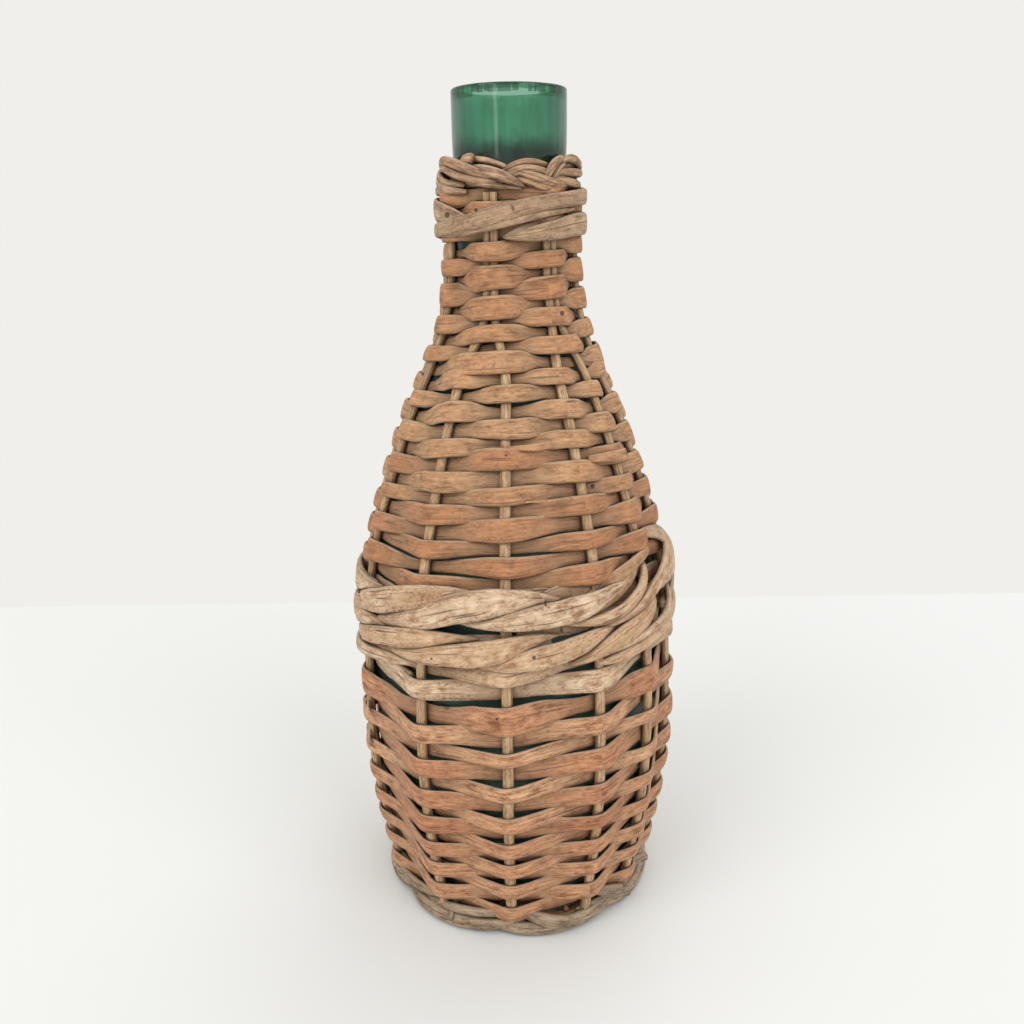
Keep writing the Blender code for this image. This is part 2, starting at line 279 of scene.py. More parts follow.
def respaced(points, step, closed):
    """The same route with points an even step apart. Columns after the third go along."""
    if closed:
        points = np.concatenate([points, points[:1]])
    along = distances(points)[1]
    count = max(4, int(round(along[-1] / step)))
    places = np.linspace(0, along[-1], count + 1)
    if closed:
        places = places[:-1]
    return np.stack([np.interp(places, along, points[:, i]) for i in range(points.shape[1])], -1)


def chance_shade(seed):
    """How red one rod is, from -1 to 1, by chance."""
    return float(np.random.default_rng(seed).uniform(-1, 1))


def placed(name, data):
    """A new object in the scene."""
    made = bpy.data.objects.new(name, data)
    bpy.context.scene.collection.objects.link(made)
    return made


def directions(route, out, closed, twist):
    """The directions across a strip and out of its face at each point of its route."""
    if closed:
        tangent = np.roll(route, -1, 0) - np.roll(route, 1, 0)
    else:
        tangent = np.gradient(route, axis=0)
    tangent /= np.linalg.norm(tangent, axis=1)[:, None]
    side = np.cross(tangent, out)
    side /= np.linalg.norm(side, axis=1)[:, None]
    face = np.cross(side, tangent)
    turn = np.broadcast_to(twist, len(route))[:, None]
    return (
        side * np.cos(turn) + face * np.sin(turn),
        face * np.cos(turn) - side * np.sin(turn),
    )


class Willow:
    """Strips and rods gathered into one mesh, with their own coordinates along the grain."""

    def __init__(self):
        self.points, self.faces, self.grain = [], [], []
        self.worn, self.rim, self.shade = [], [], []
        self.count = 0

    def sweep(self, route, out, width, thick, kind="strip", closed=False, worn=1.0, shade=0.0,
              seed=0, twist=0.0):
        """Sweeps a section along a route. Width and thickness are full sizes at each point."""
        count = len(route)
        side, face = directions(route, out, closed, twist)
        gaps, along = distances(route)
        length = along[-1] + (gaps[-1] if closed else 0)
        width, thick = np.broadcast_to(width, count), np.broadcast_to(thick, count)
        across, domed = section(kind)
        sides = len(across)
        kinds = (ROD_SIZE,) * 3 if kind == "rod" else (UPPER_EDGE, LOWER_EDGE, THICKNESS)
        upper, lower, swell = (uneven(along, length, seed, waves) for waves in kinds)
        edge = np.where(across[None, :] > 0, upper[:, None], lower[:, None])
        reach = (width / 2)[:, None] * across[None, :] * edge
        lift = (thick / 2)[:, None] * domed[None, :] * swell[:, None]
        ring = route[:, None] + side[:, None] * reach[..., None] + face[:, None] * lift[..., None]
        start = self.count
        self.points.append(ring.reshape(-1, 3))
        offset = (seed * GRAIN_APART) % GRAIN_REACH
        girth = np.abs(width).mean() * GRAIN_GIRTH / sides
        for i in range(count if closed else count - 1):
            j = (i + 1) % count
            u0 = along[i] + offset
            u1 = (along[i + 1] if i + 1 < count else length) + offset
            here, there = start + i * sides, start + j * sides
            for k in range(sides):
                m = (k + 1) % sides
                self.faces.append((here + k, there + k, there + m, here + m))
                v0, v1 = k * girth + offset, (k + 1) * girth + offset
                self.grain += [(u0, v0), (u1, v0), (u1, v1), (u0, v1)]
        if not closed:
            for i, order in ((0, range(sides)), (count - 1, range(sides - 1, -1, -1))):
                self.faces.append(tuple(start + i * sides + k for k in order))
                self.grain += [
                    (along[i] + offset + lift[i, k], reach[i, k] + offset) for k in order
                ]
        self.count += count * sides
        # how far out in front and how worn each point is; the finish paints high values lighter and
        # warmer and low ones greyer, a painted highlight and painted shade
        self.worn.append(np.repeat(np.broadcast_to(worn, count), sides))
        self.rim.append(np.tile(np.abs(across), count))
        self.shade.append(np.full(count * sides, shade))

    def piece(self, name, finish, slot, *nodes):
        """The gathered strips as one object that stands for CAD nodes."""
        mesh = bpy.data.meshes.new(name)
        mesh.from_pydata(np.concatenate(self.points).tolist(), [], self.faces)
        layer = mesh.uv_layers.new(name="Grain")
        layer.data.foreach_set("uv", np.array(self.grain, np.float32).ravel())
        for label, values in (("worn", self.worn), ("rim", self.rim), ("shade", self.shade)):
            held = mesh.attributes.new(label, "FLOAT", "POINT")
            held.data.foreach_set("value", np.concatenate(values).astype(np.float32))
        mesh.shade_smooth()
        mesh.materials.append(finish)
        made = placed(name, mesh)
        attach(made, "root")
        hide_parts(*nodes)


# How many points are laid between two given ones before they are spaced evenly
LAID_BETWEEN = 12
# A short rod bends over no more than its length divided by this
SHORT_ROD = 3.2


def routed(points, on_glass):
    """A smooth route from given points of (degrees, height mm, off mm, width mm).

    Where a rod doesn't lie on the glass, the third number is its distance from the axis.
    """
    degrees, height, off, width = np.array(points, float).T
    radius = off * MM + (glass_r(height * MM) if on_glass else 0)
    spots = np.arange(len(points))
    fine = np.linspace(0, spots[-1], LAID_BETWEEN * spots[-1] + 1)
    turn, r, z, width = (
        np.interp(fine, spots, held) for held in (np.radians(degrees), radius, height * MM, width)
    )
    even = respaced(np.stack([r * np.sin(turn), -r * np.cos(turn), z, width], -1), ROD_STEP, False)
    bend = min(BEND_ROD / ROD_STEP, (len(even) - 2) / SHORT_ROD)
    rounded = blurred(even, bend, False)
    rounded[0], rounded[-1] = even[0], even[-1]
    return rounded


# Stakes

STAKES = 16
STAKE_NAMES = [f"stake_{k + 1:02d}" for k in range(STAKES)]
STAKE_FOOT_Z = 6 * MM
STAKE_THICK = 2.1
STAKE_SWAY, STAKE_SWAY_PERIOD = 0.25 * MM, 30 * MM
STAKE_WEAR_PERIOD = 40 * MM
# How much broader than deep the stakes are, by height: they were split and then rounded
STAKE_BROAD_Z = np.array([0, 120, 175, 245, 270, 330]) * MM
STAKE_BROAD = np.array([1.20, 1.25, 1.40, 1.45, 1.25, 1.15])


def stake_route(name):
    """Middle and radius of a stake at each of its CAD rings, from the foot up."""
    rings = rings_of(name, STAKE_RING_APART)
    middles = np.array([ring.mean(0) for ring in rings])
    radii = np.array([np.linalg.norm(r - m, axis=1).max() for r, m in zip(rings, middles)])
    return middles, radii


STAKE_ROUTES = [stake_route(name) for name in STAKE_NAMES]


def stake_at(k, z):
    """(angle, radius of the stake) at a height."""
    middles, radii = STAKE_ROUTES[k]
    x, y = (np.interp(z, middles[:, 2], middles[:, i]) for i in (0, 1))
    thick = np.interp(z, middles[:, 2], radii)
    return math.atan2(x, -y), thick


def laid_stakes(finish):
    """Each stake along its CAD route, carried on down into the foot, with a slight sway."""
    for k, name in enumerate(STAKE_NAMES):
        middles, radii = STAKE_ROUTES[k]
        first, second = middles[:2]
        down = first + (first - second) * (first[2] - STAKE_FOOT_Z) / (second[2] - first[2])
        route = np.column_stack([np.vstack([down, middles]), np.append(radii[0], radii)])
        route = blurred(respaced(route, STAKE_STEP, False), BEND_STAKE / STAKE_STEP, False)
        place = route[:, :3]
        along = np.arange(len(route)) * STAKE_STEP
        length = along[-1]
        around = np.stack([-place[:, 1], place[:, 0], 0 * place[:, 0]], -1)
        around /= np.linalg.norm(around, axis=1)[:, None]
        sway = STAKE_SWAY * drift(along, length, STAKE_SWAY_PERIOD, 300 + k)
        place = place + around * sway[:, None]
        willow = Willow()
        broad = np.interp(place[:, 2], STAKE_BROAD_Z, STAKE_BROAD)
        willow.sweep(place, outward(place), route[:, 3] * 2 * broad, route[:, 3] * STAKE_THICK,
                     worn=0.75 + 0.25 * drift(along, length, STAKE_WEAR_PERIOD, 330 + k),
                     shade=chance_shade(360 + k), seed=360 + k, kind="rod")
        willow.piece(name + "_rod", finish, "stake_willow", name)


# Rows of weaving

NECK_ROWS = [f"neck_weaver_{i + 1:02d}" for i in range(9)]
SHOULDER_ROWS = [f"shoulder_weaver_{i + 1:02d}" for i in range(13)]
WAIST_ROWS = [f"waist_weaver_{i + 1:02d}" for i in range(2)]
BODY_ROWS = [f"body_weaver_{i + 1:02d}" for i in range(13)]
# Breadth of a strip as shares of its row, where it passes in front and where it dives behind
OVER_NECK, OVER_SHOULDER, OVER_BODY = 1.46, 1.36, 0.95
DIVE_NECK, DIVE_SHOULDER, DIVE_BODY = 0.80, 1.14, 1.04
# Breadth of each row beside the usual one of its part, from the neck down
ROW_BREADTHS = (
    1.00, 0.92, 1.18, 1.10, 1.12, 0.98, 0.92, 0.86, 1.10, 0.88, 0.86, 1.02, 1.00, 0.95, 1.08, 1.00,
    0.76, 0.95, 1.02, 0.92, 1.05, 0.95, 1.00, 1.00, 1.45, 1.12, 0.88, 1.22, 0.95, 1.28, 1.02, 1.30,
    1.15, 1.45, 1.30, 1.50, 1.35, 1.55, 1.45,
)
# Breadth in the dives beside the usual one, from the last rows of the shoulder down
DIVE_BREADTHS = (
    0.96, 0.90, 0.84, 0.74, 0.64, 0.74, 1.00, 1.00, 1.00, 1.05, 1.05, 1.10, 1.12, 1.20, 1.28, 1.36,
    1.50, 1.58, 1.65, 1.70, 1.70, 1.70, 1.60,
)
FIRST_GAPS = 17
# How red each row is, from greyed tan to red, from the neck down
ROW_SHADES = (
    0.3, 0.7, 0.6, 0.7, 0.4, 0.3, 0.1, 0.2, -0.1, -0.3, -0.3, -0.4, -0.5, -0.2, 0.8, -0.2, 0.2, 0.8,
    0.7, 0.9, 1.0, 0.8, 0.2, -0.3, 0.6, 0.0, -0.1, 0.7, -0.4, 0.7, 0.1, 1.0, 0.4, 0.5, 0.2, 0.3,
    0.0, 0.1, 0.2,
)
COLLAR_SHADE = 0.3
# Over how many rows the breadths of the neck change to those of the shoulder
SHOULDER_TURN = 6
# Thickness in the dives and in front, beside a strip's usual one
DIVE_THICK, OVER_THICK = 0.95, 1.1
# How far the middle of a row stands off the glass
ROW_OFF = 4.5 * MM
# Half the length on which a strip lies straight over a stake or a pair, as a share of its breadth
HOLD_STAKE, HOLD_PAIR = 0.45, 0.75
# How unevenly a row is laid: how far a pass is lifted and a strip sways, as shares of its row, how
# much its breadth changes from pass to pass, in front and in the dives, and its roll, in radians
ROW_LIFT, ROW_SWAY, ROW_TWIST = 0.08, 0.08, 0.12
SWAY_PERIOD, TWIST_PERIOD = 22 * MM, 30 * MM
UNEVEN_OVER, UNEVEN_DIVE = 0.08, 0.20
# Share of the way out from a dive at which a strip starts to widen, and where it is full
WIDE_FROM, WIDE_BY = 0.10, 0.80
# Rows of the shoulder that widen all the way from one stake to the next
GRADUAL_ROWS = range(15, 23)
# How far each pale row under the waist is raised, and its two breadths as shares of its row
WAIST_SHAPE = ((1.0 * MM, 0.70, 0.45), (3.0 * MM, 0.92, 0.82))


# A splinter that lifts from a strip, or an end that lies over the next strip: (degrees to the right
# of the front, height mm, stand-off mm, width mm)
LOOSE_ENDS = {
    "neck_weaver_03": ((10, 286, 5.6, 0.5), (20, 287.2, 7.6, 1), (29, 287.9, 8.4, 1),
                       (39, 288, 8.6, 0.5)),
    "shoulder_weaver_04": ((-4, 223.6, 5.4, 0.8), (3, 223.2, 7.4, 2.4), (11, 223.8, 8, 3.2),
                           (17, 224.3, 8, 2.8)),
    "shoulder_weaver_05": ((36, 216.4, 5, 2.6), (43, 216.4, 7.6, 4.6), (50, 216, 8.8, 5.6),
                           (57, 215.5, 9.2, 5.4)),
    "shoulder_weaver_07": ((4, 203, 5.6, 0.6), (10, 203.9, 7.6, 1.2), (16, 203.2, 8.2, 1.4),
                           (23, 203.3, 7.4, 0.6)),
    "shoulder_weaver_10": ((12, 184.4, 5.6, 0.5), (15, 185.6, 7.8, 1), (18, 187.3, 9.8, 1.1),
                           (21, 187.2, 9.6, 1), (24, 185.8, 7.6, 0.5)),
    "body_weaver_02": ((-72, 99.4, 5.4, 1.2), (-68, 98, 7.8, 2.2), (-63, 96.4, 8.2, 2),
                       (-58, 96, 6.8, 0.8)),
    "body_weaver_04": ((-72, 84.8, 5.4, 1.4), (-69, 82.2, 8, 2.2), (-66, 79.4, 8, 1.8)),
}


def row_heights(names):
    """Foot height on the glass of each row, and the height of its share of the jacket."""
    feet = []
    for name in names:
        low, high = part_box(name)
        middle = foot = (low.z + high.z) / 2
        for _ in range(2):
            slope = float(lean(foot))
            foot = middle + ROW_OFF * slope / math.hypot(1, slope)
        feet.append(foot)
    return list(zip(feet, -np.gradient(np.array(feet))))


def crossings(number, part, z):
    """(angle, half angle, in front, off) for each stake, or pair on the neck, that a row passes."""
    found = []
    stakes = [stake_at(k, z) for k in range(STAKES)]
    for k, (angle, thick) in enumerate(stakes):
        reach = (thick + STAKE_SIDE) / float(glass_r(z))
        # a strip in front lies over the stake, and over the strips that dive behind it
        off = STRIP_GAP * 3 + STRIP_T * 1.5 + 2 * thick
        if part != "neck":
            found.append((angle % TURN, reach, (number + k) % 2 == 0, off))
        elif k % 2 == 0:
            other = stakes[k + 1][0]
            if other < angle - math.pi:
                other += TURN
            half = (other - angle) / 2
            found.append(((angle + half) % TURN, half + reach, (number + k // 2) % 2 == 1, off))
    return sorted(found)


def row_knots(number, part, z, pitch, over_share, dive_share):
    """Where a row passes stakes: (angle, off, in front, lift, breadth in front, in dives)."""
    chance = np.random.default_rng(700 + number)
    usual = ROW_BREADTHS[number - 1] if number > 0 else 1
    knots = []
    for angle, half, front, off in crossings(number, part, z):
        hold = half * (HOLD_PAIR if part == "neck" else HOLD_STAKE)
        lifted = chance.uniform(-1, 1) * ROW_LIFT * pitch
        over = over_share * usual * (1 + UNEVEN_OVER * chance.uniform(-1, 1))
        dive = dive_share * (1 + UNEVEN_DIVE * chance.uniform(-1, 1))
        if number >= FIRST_GAPS:
            dive *= DIVE_BREADTHS[number - FIRST_GAPS]
        for side in (-1, 0, 1) if part == "neck" else (-1, 1):
            off_there = off if front else OFF_UNDER
            knots.append((angle + side * hold, off_there, float(front), lifted, over, dive))
    knots.append((knots[0][0] + TURN, *knots[0][1:]))
    return np.array(knots)


def woven_row(willow, number, part, z, pitch, over_share, dive_share):
    """One strip that goes right round, in front of one stake and behind the next."""
    knots = row_knots(number, part, z, pitch, over_share, dive_share)
    fine = []
    for start, end in zip(knots, knots[1:]):
        turns = np.array([start[0], end[0]])
        ends = on_jacket(turns, np.array([z, z]), np.array([start[1], end[1]]))
        count = max(2, int(np.linalg.norm(ends[1] - ends[0]) / FINE_STEP))
        share = np.linspace(0, 1, count + 1)[:-1, None]
        straight = lerp(ends[0], ends[1], share)
        laid = lerp(start[2:], end[2:], eased(share))
        fine.append(np.column_stack([straight, laid]))
    route = respaced(np.concatenate(fine), ROW_STEP, True)
    bend = (BEND_NECK if part == "neck" else BEND_BODY) / ROW_STEP
    place = blurred(route[:, :3], bend, True)
    front, lifted, over, dive = blurred(route[:, 3:], bend, True).T
    # a strip can't sink into the glass between two stakes
    radius = np.hypot(place[:, 0], place[:, 1])
    slope = lean(place[:, 2])
    least = glass_r(place[:, 2]) + OFF_UNDER * np.hypot(1, slope)
    place[:, :2] *= (np.maximum(radius, least) / radius)[:, None]
    angle = np.arctan2(place[:, 0], -place[:, 1])
    along = np.arange(len(place)) * ROW_STEP
    length = len(place) * ROW_STEP
    level = place[:, 2].copy()
    place[:, 2] = settled(angle, level) + lifted
    place[:, 2] += ROW_SWAY * pitch * drift(along, length, SWAY_PERIOD, 540 + number)
    radius = np.hypot(place[:, 0], place[:, 1])
    moved = radius + glass_r(place[:, 2]) - glass_r(level)
    place[:, :2] *= (moved / radius)[:, None]
    wide = front if number in GRADUAL_ROWS else eased((front - WIDE_FROM) / (WIDE_BY - WIDE_FROM))
    width = pitch * lerp(dive, over, wide)
    thick = STRIP_T * lerp(DIVE_THICK, OVER_THICK, front)
    shade = ROW_SHADES[number - 1] if number > 0 else COLLAR_SHADE
    # strips are lighter and warmer where they pass in front of a stake and greyer where they dive:
    # painted highlight and painted shade
    willow.sweep(place, outward(place), width, thick, closed=True, worn=front,
                 shade=shade, seed=40 + number,
                 twist=ROW_TWIST * drift(along, length, TWIST_PERIOD, 560 + number))


def row_piece(name, number, laid, finish, slot):
    """A row and its loose end as one piece."""
    willow = Willow()
    woven_row(willow, number, *laid)
    if name in LOOSE_ENDS:
        add_rod(willow, LOOSE_ENDS[name], 1600 + 10 * number, thick=1.6, worn=0.8, shade=0.0)
    willow.piece(name + "_strip", finish, slot, name)


def weaving(tan, brown, pale):
    """All rows, numbered from the neck down."""
    names = NECK_ROWS + SHOULDER_ROWS
    for i, (name, (z, pitch)) in enumerate(zip(names, row_heights(names))):
        part = "neck" if i < len(NECK_ROWS) else "shoulder"
        share = np.clip((i - len(NECK_ROWS)) / SHOULDER_TURN, 0, 1)
        over = lerp(OVER_NECK, OVER_SHOULDER, share)
        dive = lerp(DIVE_NECK, DIVE_SHOULDER, share)
        row_piece(name, i + 1, (part, z, pitch, over, dive), tan, "tan_willow")
    number = len(names) + 1
    waist = row_heights(WAIST_ROWS)
    for name, (z, pitch), (raised, over, dive) in zip(WAIST_ROWS, waist, WAIST_SHAPE):
        row_piece(name, number, ("body", z + raised, pitch, over, dive), pale, "pale_willow")
        number += 1
    for name, (z, pitch) in zip(BODY_ROWS, row_heights(BODY_ROWS)):
        row_piece(name, number, ("body", z, pitch, OVER_BODY, DIVE_BODY), brown, "brown_willow")
        number += 1


# Wound and plaited rods, laid where the photograph shows them, with the back as the
# maker would carry it on: (degrees to the right of the front, height mm, stand-off mm, width mm)

WALE_UPPER_FRONT = (
    ((-120, 147, 5, 5), (-104, 150, 8, 9), (-90, 153, 9, 10.5), (-78, 156, 9, 10),
     (-68, 158.6, 8, 6), (-57, 160, 5, 1.4)),
    ((-112, 136, 5, 4), (-98, 138, 8, 7), (-84, 142, 9, 8.5), (-72, 147.5, 8.6, 8),
     (-60, 152, 6.5, 5), (-50, 155, 4, 1.4)),
    ((-81, 147, 5, 3), (-70, 150, 8.4, 8), (-52, 157, 9.8, 11.2), (-41, 162, 10.2, 11.2),
     (-32, 165.2, 9.8, 10.4), (-25, 167.4, 8.8, 7.6), (-19, 168, 6, 3.8), (-14, 167.4, 3.2, 0.8)),
    ((-58, 146, 5, 2.7), (-46, 150.4, 7, 6.4), (-37, 154.6, 8.6, 9.6), (-28, 158.2, 9.4, 11.4),
     (-21, 161.8, 10, 12.8), (-14, 164.6, 10.2, 12.8), (-8, 166.2, 10.2, 11.6), (-3, 167, 9.8, 10),
     (2, 167.4, 9, 8.2), (7, 167, 7.6, 5.6), (12, 165.8, 5.4, 2.8), (16, 164.4, 3.2, 0.8)),
    ((-20, 155.4, 5, 1.5), (-13, 156, 7, 3.6), (-8, 157, 8.6, 5.4), (-3, 158.4, 9.6, 7.4),
     (2, 159.4, 10.2, 9.4), (8, 160.6, 10.2, 10.2), (14, 161.6, 10.2, 10.6), (20, 162.2, 10, 10.6),
     (26, 163, 9.6, 9), (31, 164.4, 8.6, 7), (37, 165.8, 6.6, 4.4), (45, 166.4, 4, 1.1)),
)
WALE_UPPER_LOOPS = (
    ((16, 154.6, 5, 1.2), (21, 154.6, 6.6, 2.6), (26, 155, 8.4, 4.4), (31, 155.4, 9.8, 5),
     (37, 157.2, 10.4, 5), (42, 159.8, 10.4, 5), (47, 162.8, 9.8, 4.8), (51, 166, 8.4, 4.2),
     (53, 170, 6, 3.4)),
    ((29, 150.4, 6, 1.4), (34, 151.6, 8, 2.8), (40, 154, 9.6, 3.4), (45, 156.6, 10.4, 4.2),
     (51, 160, 10.8, 5.2), (58, 163.6, 10.8, 6.2), (66, 167.4, 10.4, 6.8), (73, 172, 9.6, 6.2),
     (76, 176.6, 8.4, 5), (72, 180, 6.4, 3.6), (64, 181.6, 4.2, 2.2)),
    ((22, 156, 3.6, 3), (30, 158.6, 4.6, 5), (38, 162.6, 5, 6.4), (46, 168, 5, 7),
     (54, 173.6, 4, 6)),
    ((74, 158, 5, 1.6), (70, 155, 8, 2.2), (67, 151, 9.8, 2.6), (63, 147.2, 10.4, 3),
     (56, 145, 10.6, 3.4), (49, 144.2, 10.6, 3.4), (43, 143.4, 10.2, 3.4), (37, 142.2, 9.6, 3.2),
     (32, 140.2, 8, 2.6), (27, 137.8, 5, 1.6)),
)
# The rods' inside passes, which close the gaps behind: (start degrees, height mm, width mm)
WALE_INSIDE = (
    (-108, 150, 9), (-80, 156, 9), (-44, 160, 8), (-12, 164, 9), (10, 166, 10), (30, 160, 9),
    (-96, 138, 8), (-60, 141, 8), (-30, 144.5, 8), (0, 151, 8), (16, 152, 9), (44, 152, 8),
)
# The end of the shoulder's last strip, which comes out of the upper wale at the right
TUCKED_END = (
    (24, 162.4, 3.6, 2), (30, 165.4, 4.4, 5), (36, 168.6, 5.6, 5.6), (42, 171.6, 7.2, 5.6),
    (48, 174, 8, 5.4), (54, 174.6, 7.4, 4.8), (60, 174, 5, 3),
)
# The loose loop's stem, which stands up at the right; its inner face is painted darker and greyer,
# a painted shade
WALE_STANDING = (
    (60, 181, 4.5, 4.5), (68, 180, 8, 6), (74, 175, 9.6, 6.6), (77, 168, 9.8, 6.6),
    (78, 160, 9.6, 6.4), (77, 152, 9, 6), (72, 146, 7, 5),
)
WALE_LOWER_FRONT = (
    ((-124, 129, 5, 4), (-106, 131, 7.6, 6), (-92, 134, 8.6, 7), (-78, 139, 8.6, 6.4),
     (-64, 142.6, 7.6, 4.6), (-54, 144.4, 4.6, 1.2)),
    ((-84, 131, 6, 3), (-68, 135.6, 8.4, 6.4), (-52, 141.8, 9.6, 8.4), (-41, 145.2, 9.8, 9),
     (-32, 147.6, 9.6, 8.4), (-25, 149, 8.4, 6), (-19, 149.2, 6, 3), (-13, 148.6, 3.4, 0.9)),
    ((-104, 122, 5, 3.6), (-88, 123, 8, 5.4), (-74, 126, 8.6, 5.6), (-62, 129.4, 8.4, 5.2),
     (-52, 132.4, 8.2, 5.2), (-43, 133.4, 6.6, 4), (-36, 132.6, 4.4, 1.6)),
    ((-92, 122.4, 3.6, 3), (-82, 123.4, 2.4, 6.2), (-66, 124.6, 1.8, 7), (-50, 125.6, 1.8, 6.4),
     (-40, 126, 3.2, 3)),
    ((-52, 135.4, 5, 1.4), (-41, 138, 7.5, 4.4), (-32, 139.8, 9, 7), (-24, 142, 9.8, 9.2),
     (-18, 143.8, 10.2, 10.2), (-11, 145.2, 10.2, 10.8), (-5, 146.8, 9.8, 10.4), (1, 148.8, 8.6, 8),
     (6, 150, 6.6, 5.2), (11, 150, 4.4, 2.4), (15, 149.4, 3, 0.8)),
    ((-12, 137, 5, 1.4), (-5, 139, 7.5, 5.2), (1, 141.4, 9.2, 8.2), (6, 143.2, 10, 9.2),
     (10, 144.2, 10.2, 9.4), (15, 145.4, 10.2, 9.6), (19, 146.6, 10, 9.2), (24, 148.4, 9.4, 7.8),
     (29, 149.8, 8.4, 5.4), (34, 150, 6.6, 3), (40, 149, 4.2, 0.9)),
    ((18, 136.4, 4, 1), (24, 139.2, 7, 3.8), (28, 142.4, 9, 6.6), (32, 145, 10, 8),
     (37, 147.4, 10.6, 9), (43, 149.4, 10.6, 9.4), (49, 151.2, 9.8, 9.2), (55, 152.6, 8, 6),
     (60, 153.4, 5, 2)),
    ((28, 134.8, 5, 2), (33, 136.4, 7.5, 4.6), (39, 138, 9.2, 5.6), (46, 139.4, 9.8, 5.8),
     (54, 140.4, 9.8, 5.8), (64, 141.4, 9.2, 5.8), (76, 143.6, 8.6, 5.6), (90, 147, 7, 4.6),
     (102, 150, 4.6, 2)),
)


def outside_pass(start, turn, low, high, width):
    """One outside pass of a wale's rod: out from behind, up to the right, and in again."""
    shares = (0, 0.14, 0.35, 0.58, 0.8, 1)
    offs = (4.5, 7, 9.4, 9.8, 8, 4.5)
    fulls = (0.35, 0.6, 0.95, 1, 0.7, 0.3)
    return [
        (start + turn * share, lerp(low, high, share ** 0.85), off, width * full)
        for share, off, full in zip(shares, offs, fulls)
    ]


def inside_pass(start, height, width):
    """One inside pass of a wale's rod, close to the glass."""
    shape = ((0, 3.4, 0.4), (0.2, 2.2, 0.9), (0.5, 1.6, 1), (0.8, 2.2, 0.9), (1, 3.4, 0.4))
    return [
        (start + 42 * share, height + 3 * share, off, width * full) for share, off, full in shape
    ]


def back_passes(willow, starts, height, rise, width, seed):
    """Outside passes round the back, which climb with the jacket as the front ones do."""
    for i, start in enumerate(starts):
        chance = np.random.default_rng(seed + i)
        low, high = (
            float(settled(math.radians(start + turned), height * MM)) / MM for turned in (8, 62)
        )
        points = outside_pass(start, 70, low - rise / 2, high + rise / 2,
                              width * chance.uniform(0.85, 1.1))
        add_rod(willow, points, seed + i)


# A rod's least breadth in mm, and its greatest thickness as a share of its breadth
LEAST_WIDTH = 0.8
ROD_DEEPEST = 0.85


def add_rod(willow, points, seed, thick=3.2, kind="strip", worn=0.85, shade=None, on_glass=True):
    """Adds one rod, from given points, of a thickness in mm, which thins where the rod narrows."""
    route = routed(points, on_glass)
    width = np.maximum(route[:, 3], LEAST_WIDTH) * MM
    thin = np.minimum(thick * MM, width * ROD_DEEPEST)
    shade = chance_shade(seed) if shade is None else shade
    willow.sweep(route[:, :3], outward(route), width, thin, kind=kind, worn=worn, shade=shade,
                 seed=seed)


def add_rods(willow, rods, seed, stout=1.0, **laid):
    """Adds rods, each with its own chance draw, and broader than laid by a share."""
    for i, points in enumerate(rods):
        add_rod(willow, [(d, z, off, w * stout) for d, z, off, w in points], seed + i, **laid)


def wales(pale, tan):
    """The two wound bands round the waist."""
    end = Willow()
    add_rod(end, TUCKED_END, 1240, thick=2.2, worn=0.6)
    end.piece("tucked_end", tan, "tan_willow", SHOULDER_ROWS[-1])
    upper = Willow()
    add_rods(upper, WALE_UPPER_FRONT + WALE_UPPER_LOOPS, 1100)
    # the stem's low redness and front values grey and darken it: painted shade on its inner face
    add_rod(upper, WALE_STANDING, 1110, thick=2.0, shade=-1.0, worn=0.3)
    add_rods(upper, [inside_pass(*held) for held in WALE_INSIDE], 1220, thick=2.0, worn=0.0)
    back_passes(upper, (52, 88, 124, 160, 196, 226), 159.5, 10, 11, 1120)
    back_passes(upper, (72, 108, 144, 180, 212), 153, 8, 8, 1140)
    upper.piece("upper_wale", pale, "pale_willow", "waist_wale_upper")
    lower = Willow()
    add_rods(lower, WALE_LOWER_FRONT, 1160)
    back_passes(lower, (70, 104, 138, 172, 206, 234), 145, 10, 9.5, 1180)
    lower.piece("lower_wale", pale, "pale_willow", "waist_wale_lower")


# The band that ties the neck: two split rods, each wound right round on itself
BAND_RODS = (
    ((150, 305, 6, 3), (180, 305, 7.5, 4.5), (215, 304.6, 8, 5.2), (250, 305, 8.4, 5.2),
     (274, 305.6, 8.6, 4.4), (292, 306.3, 9, 4.4), (312, 307, 9, 4.8), (332, 309, 9, 5.2),
     (352, 312, 8.8, 5.2), (371, 314.6, 8.6, 5), (385, 315.9, 8.6, 4.8), (403, 317, 8.6, 4.8),
     (425, 318, 8.6, 5), (446, 318.7, 8.6, 5), (480, 319.6, 8, 5), (520, 320.4, 7.4, 4.6),
     (560, 321, 7, 4), (600, 321.6, 7, 3.4), (634, 321, 7.6, 3), (652, 321.6, 6, 2.4)),
    ((-33, 310.4, 7, 0.8), (-43, 310.9, 8, 4), (-57, 312, 8.4, 6.7), (-72, 313, 8.6, 6.7),
     (-86, 314.6, 8.6, 6), (-104, 315.6, 8.4, 5.6), (-135, 314.6, 8, 5.6), (-170, 312.4, 8, 5.8),
     (-205, 310.4, 8, 6), (-240, 309, 8.2, 6.2), (-274, 308, 8.6, 6.4), (-292, 307.8, 8.8, 6.6),
     (-305, 307.4, 8.8, 6.6), (-320, 305.9, 8.6, 6), (-335, 304.9, 8.4, 5.4), (-347, 304, 8, 4.4),
     (-357, 303.4, 7.4, 3), (-365, 303, 6.4, 0.9)),
)
BAND_SPLITS = (
    ((27, 308.4, 5, 0.9), (17, 307.4, 6.6, 2.2), (7, 305.9, 7, 2.8), (-1, 304.2, 6.8, 2.2),
     (-6, 303, 5.6, 0.8)),
    ((59, 313.6, 7.4, 1.2), (31, 312.2, 8, 2.2), (10, 310.4, 8.4, 2.6), (-8, 308, 8.6, 2.6),
     (-28, 305.8, 8.4, 2.4), (-50, 304.4, 8, 2.2), (-76, 304.6, 7.4, 1.6)),
)
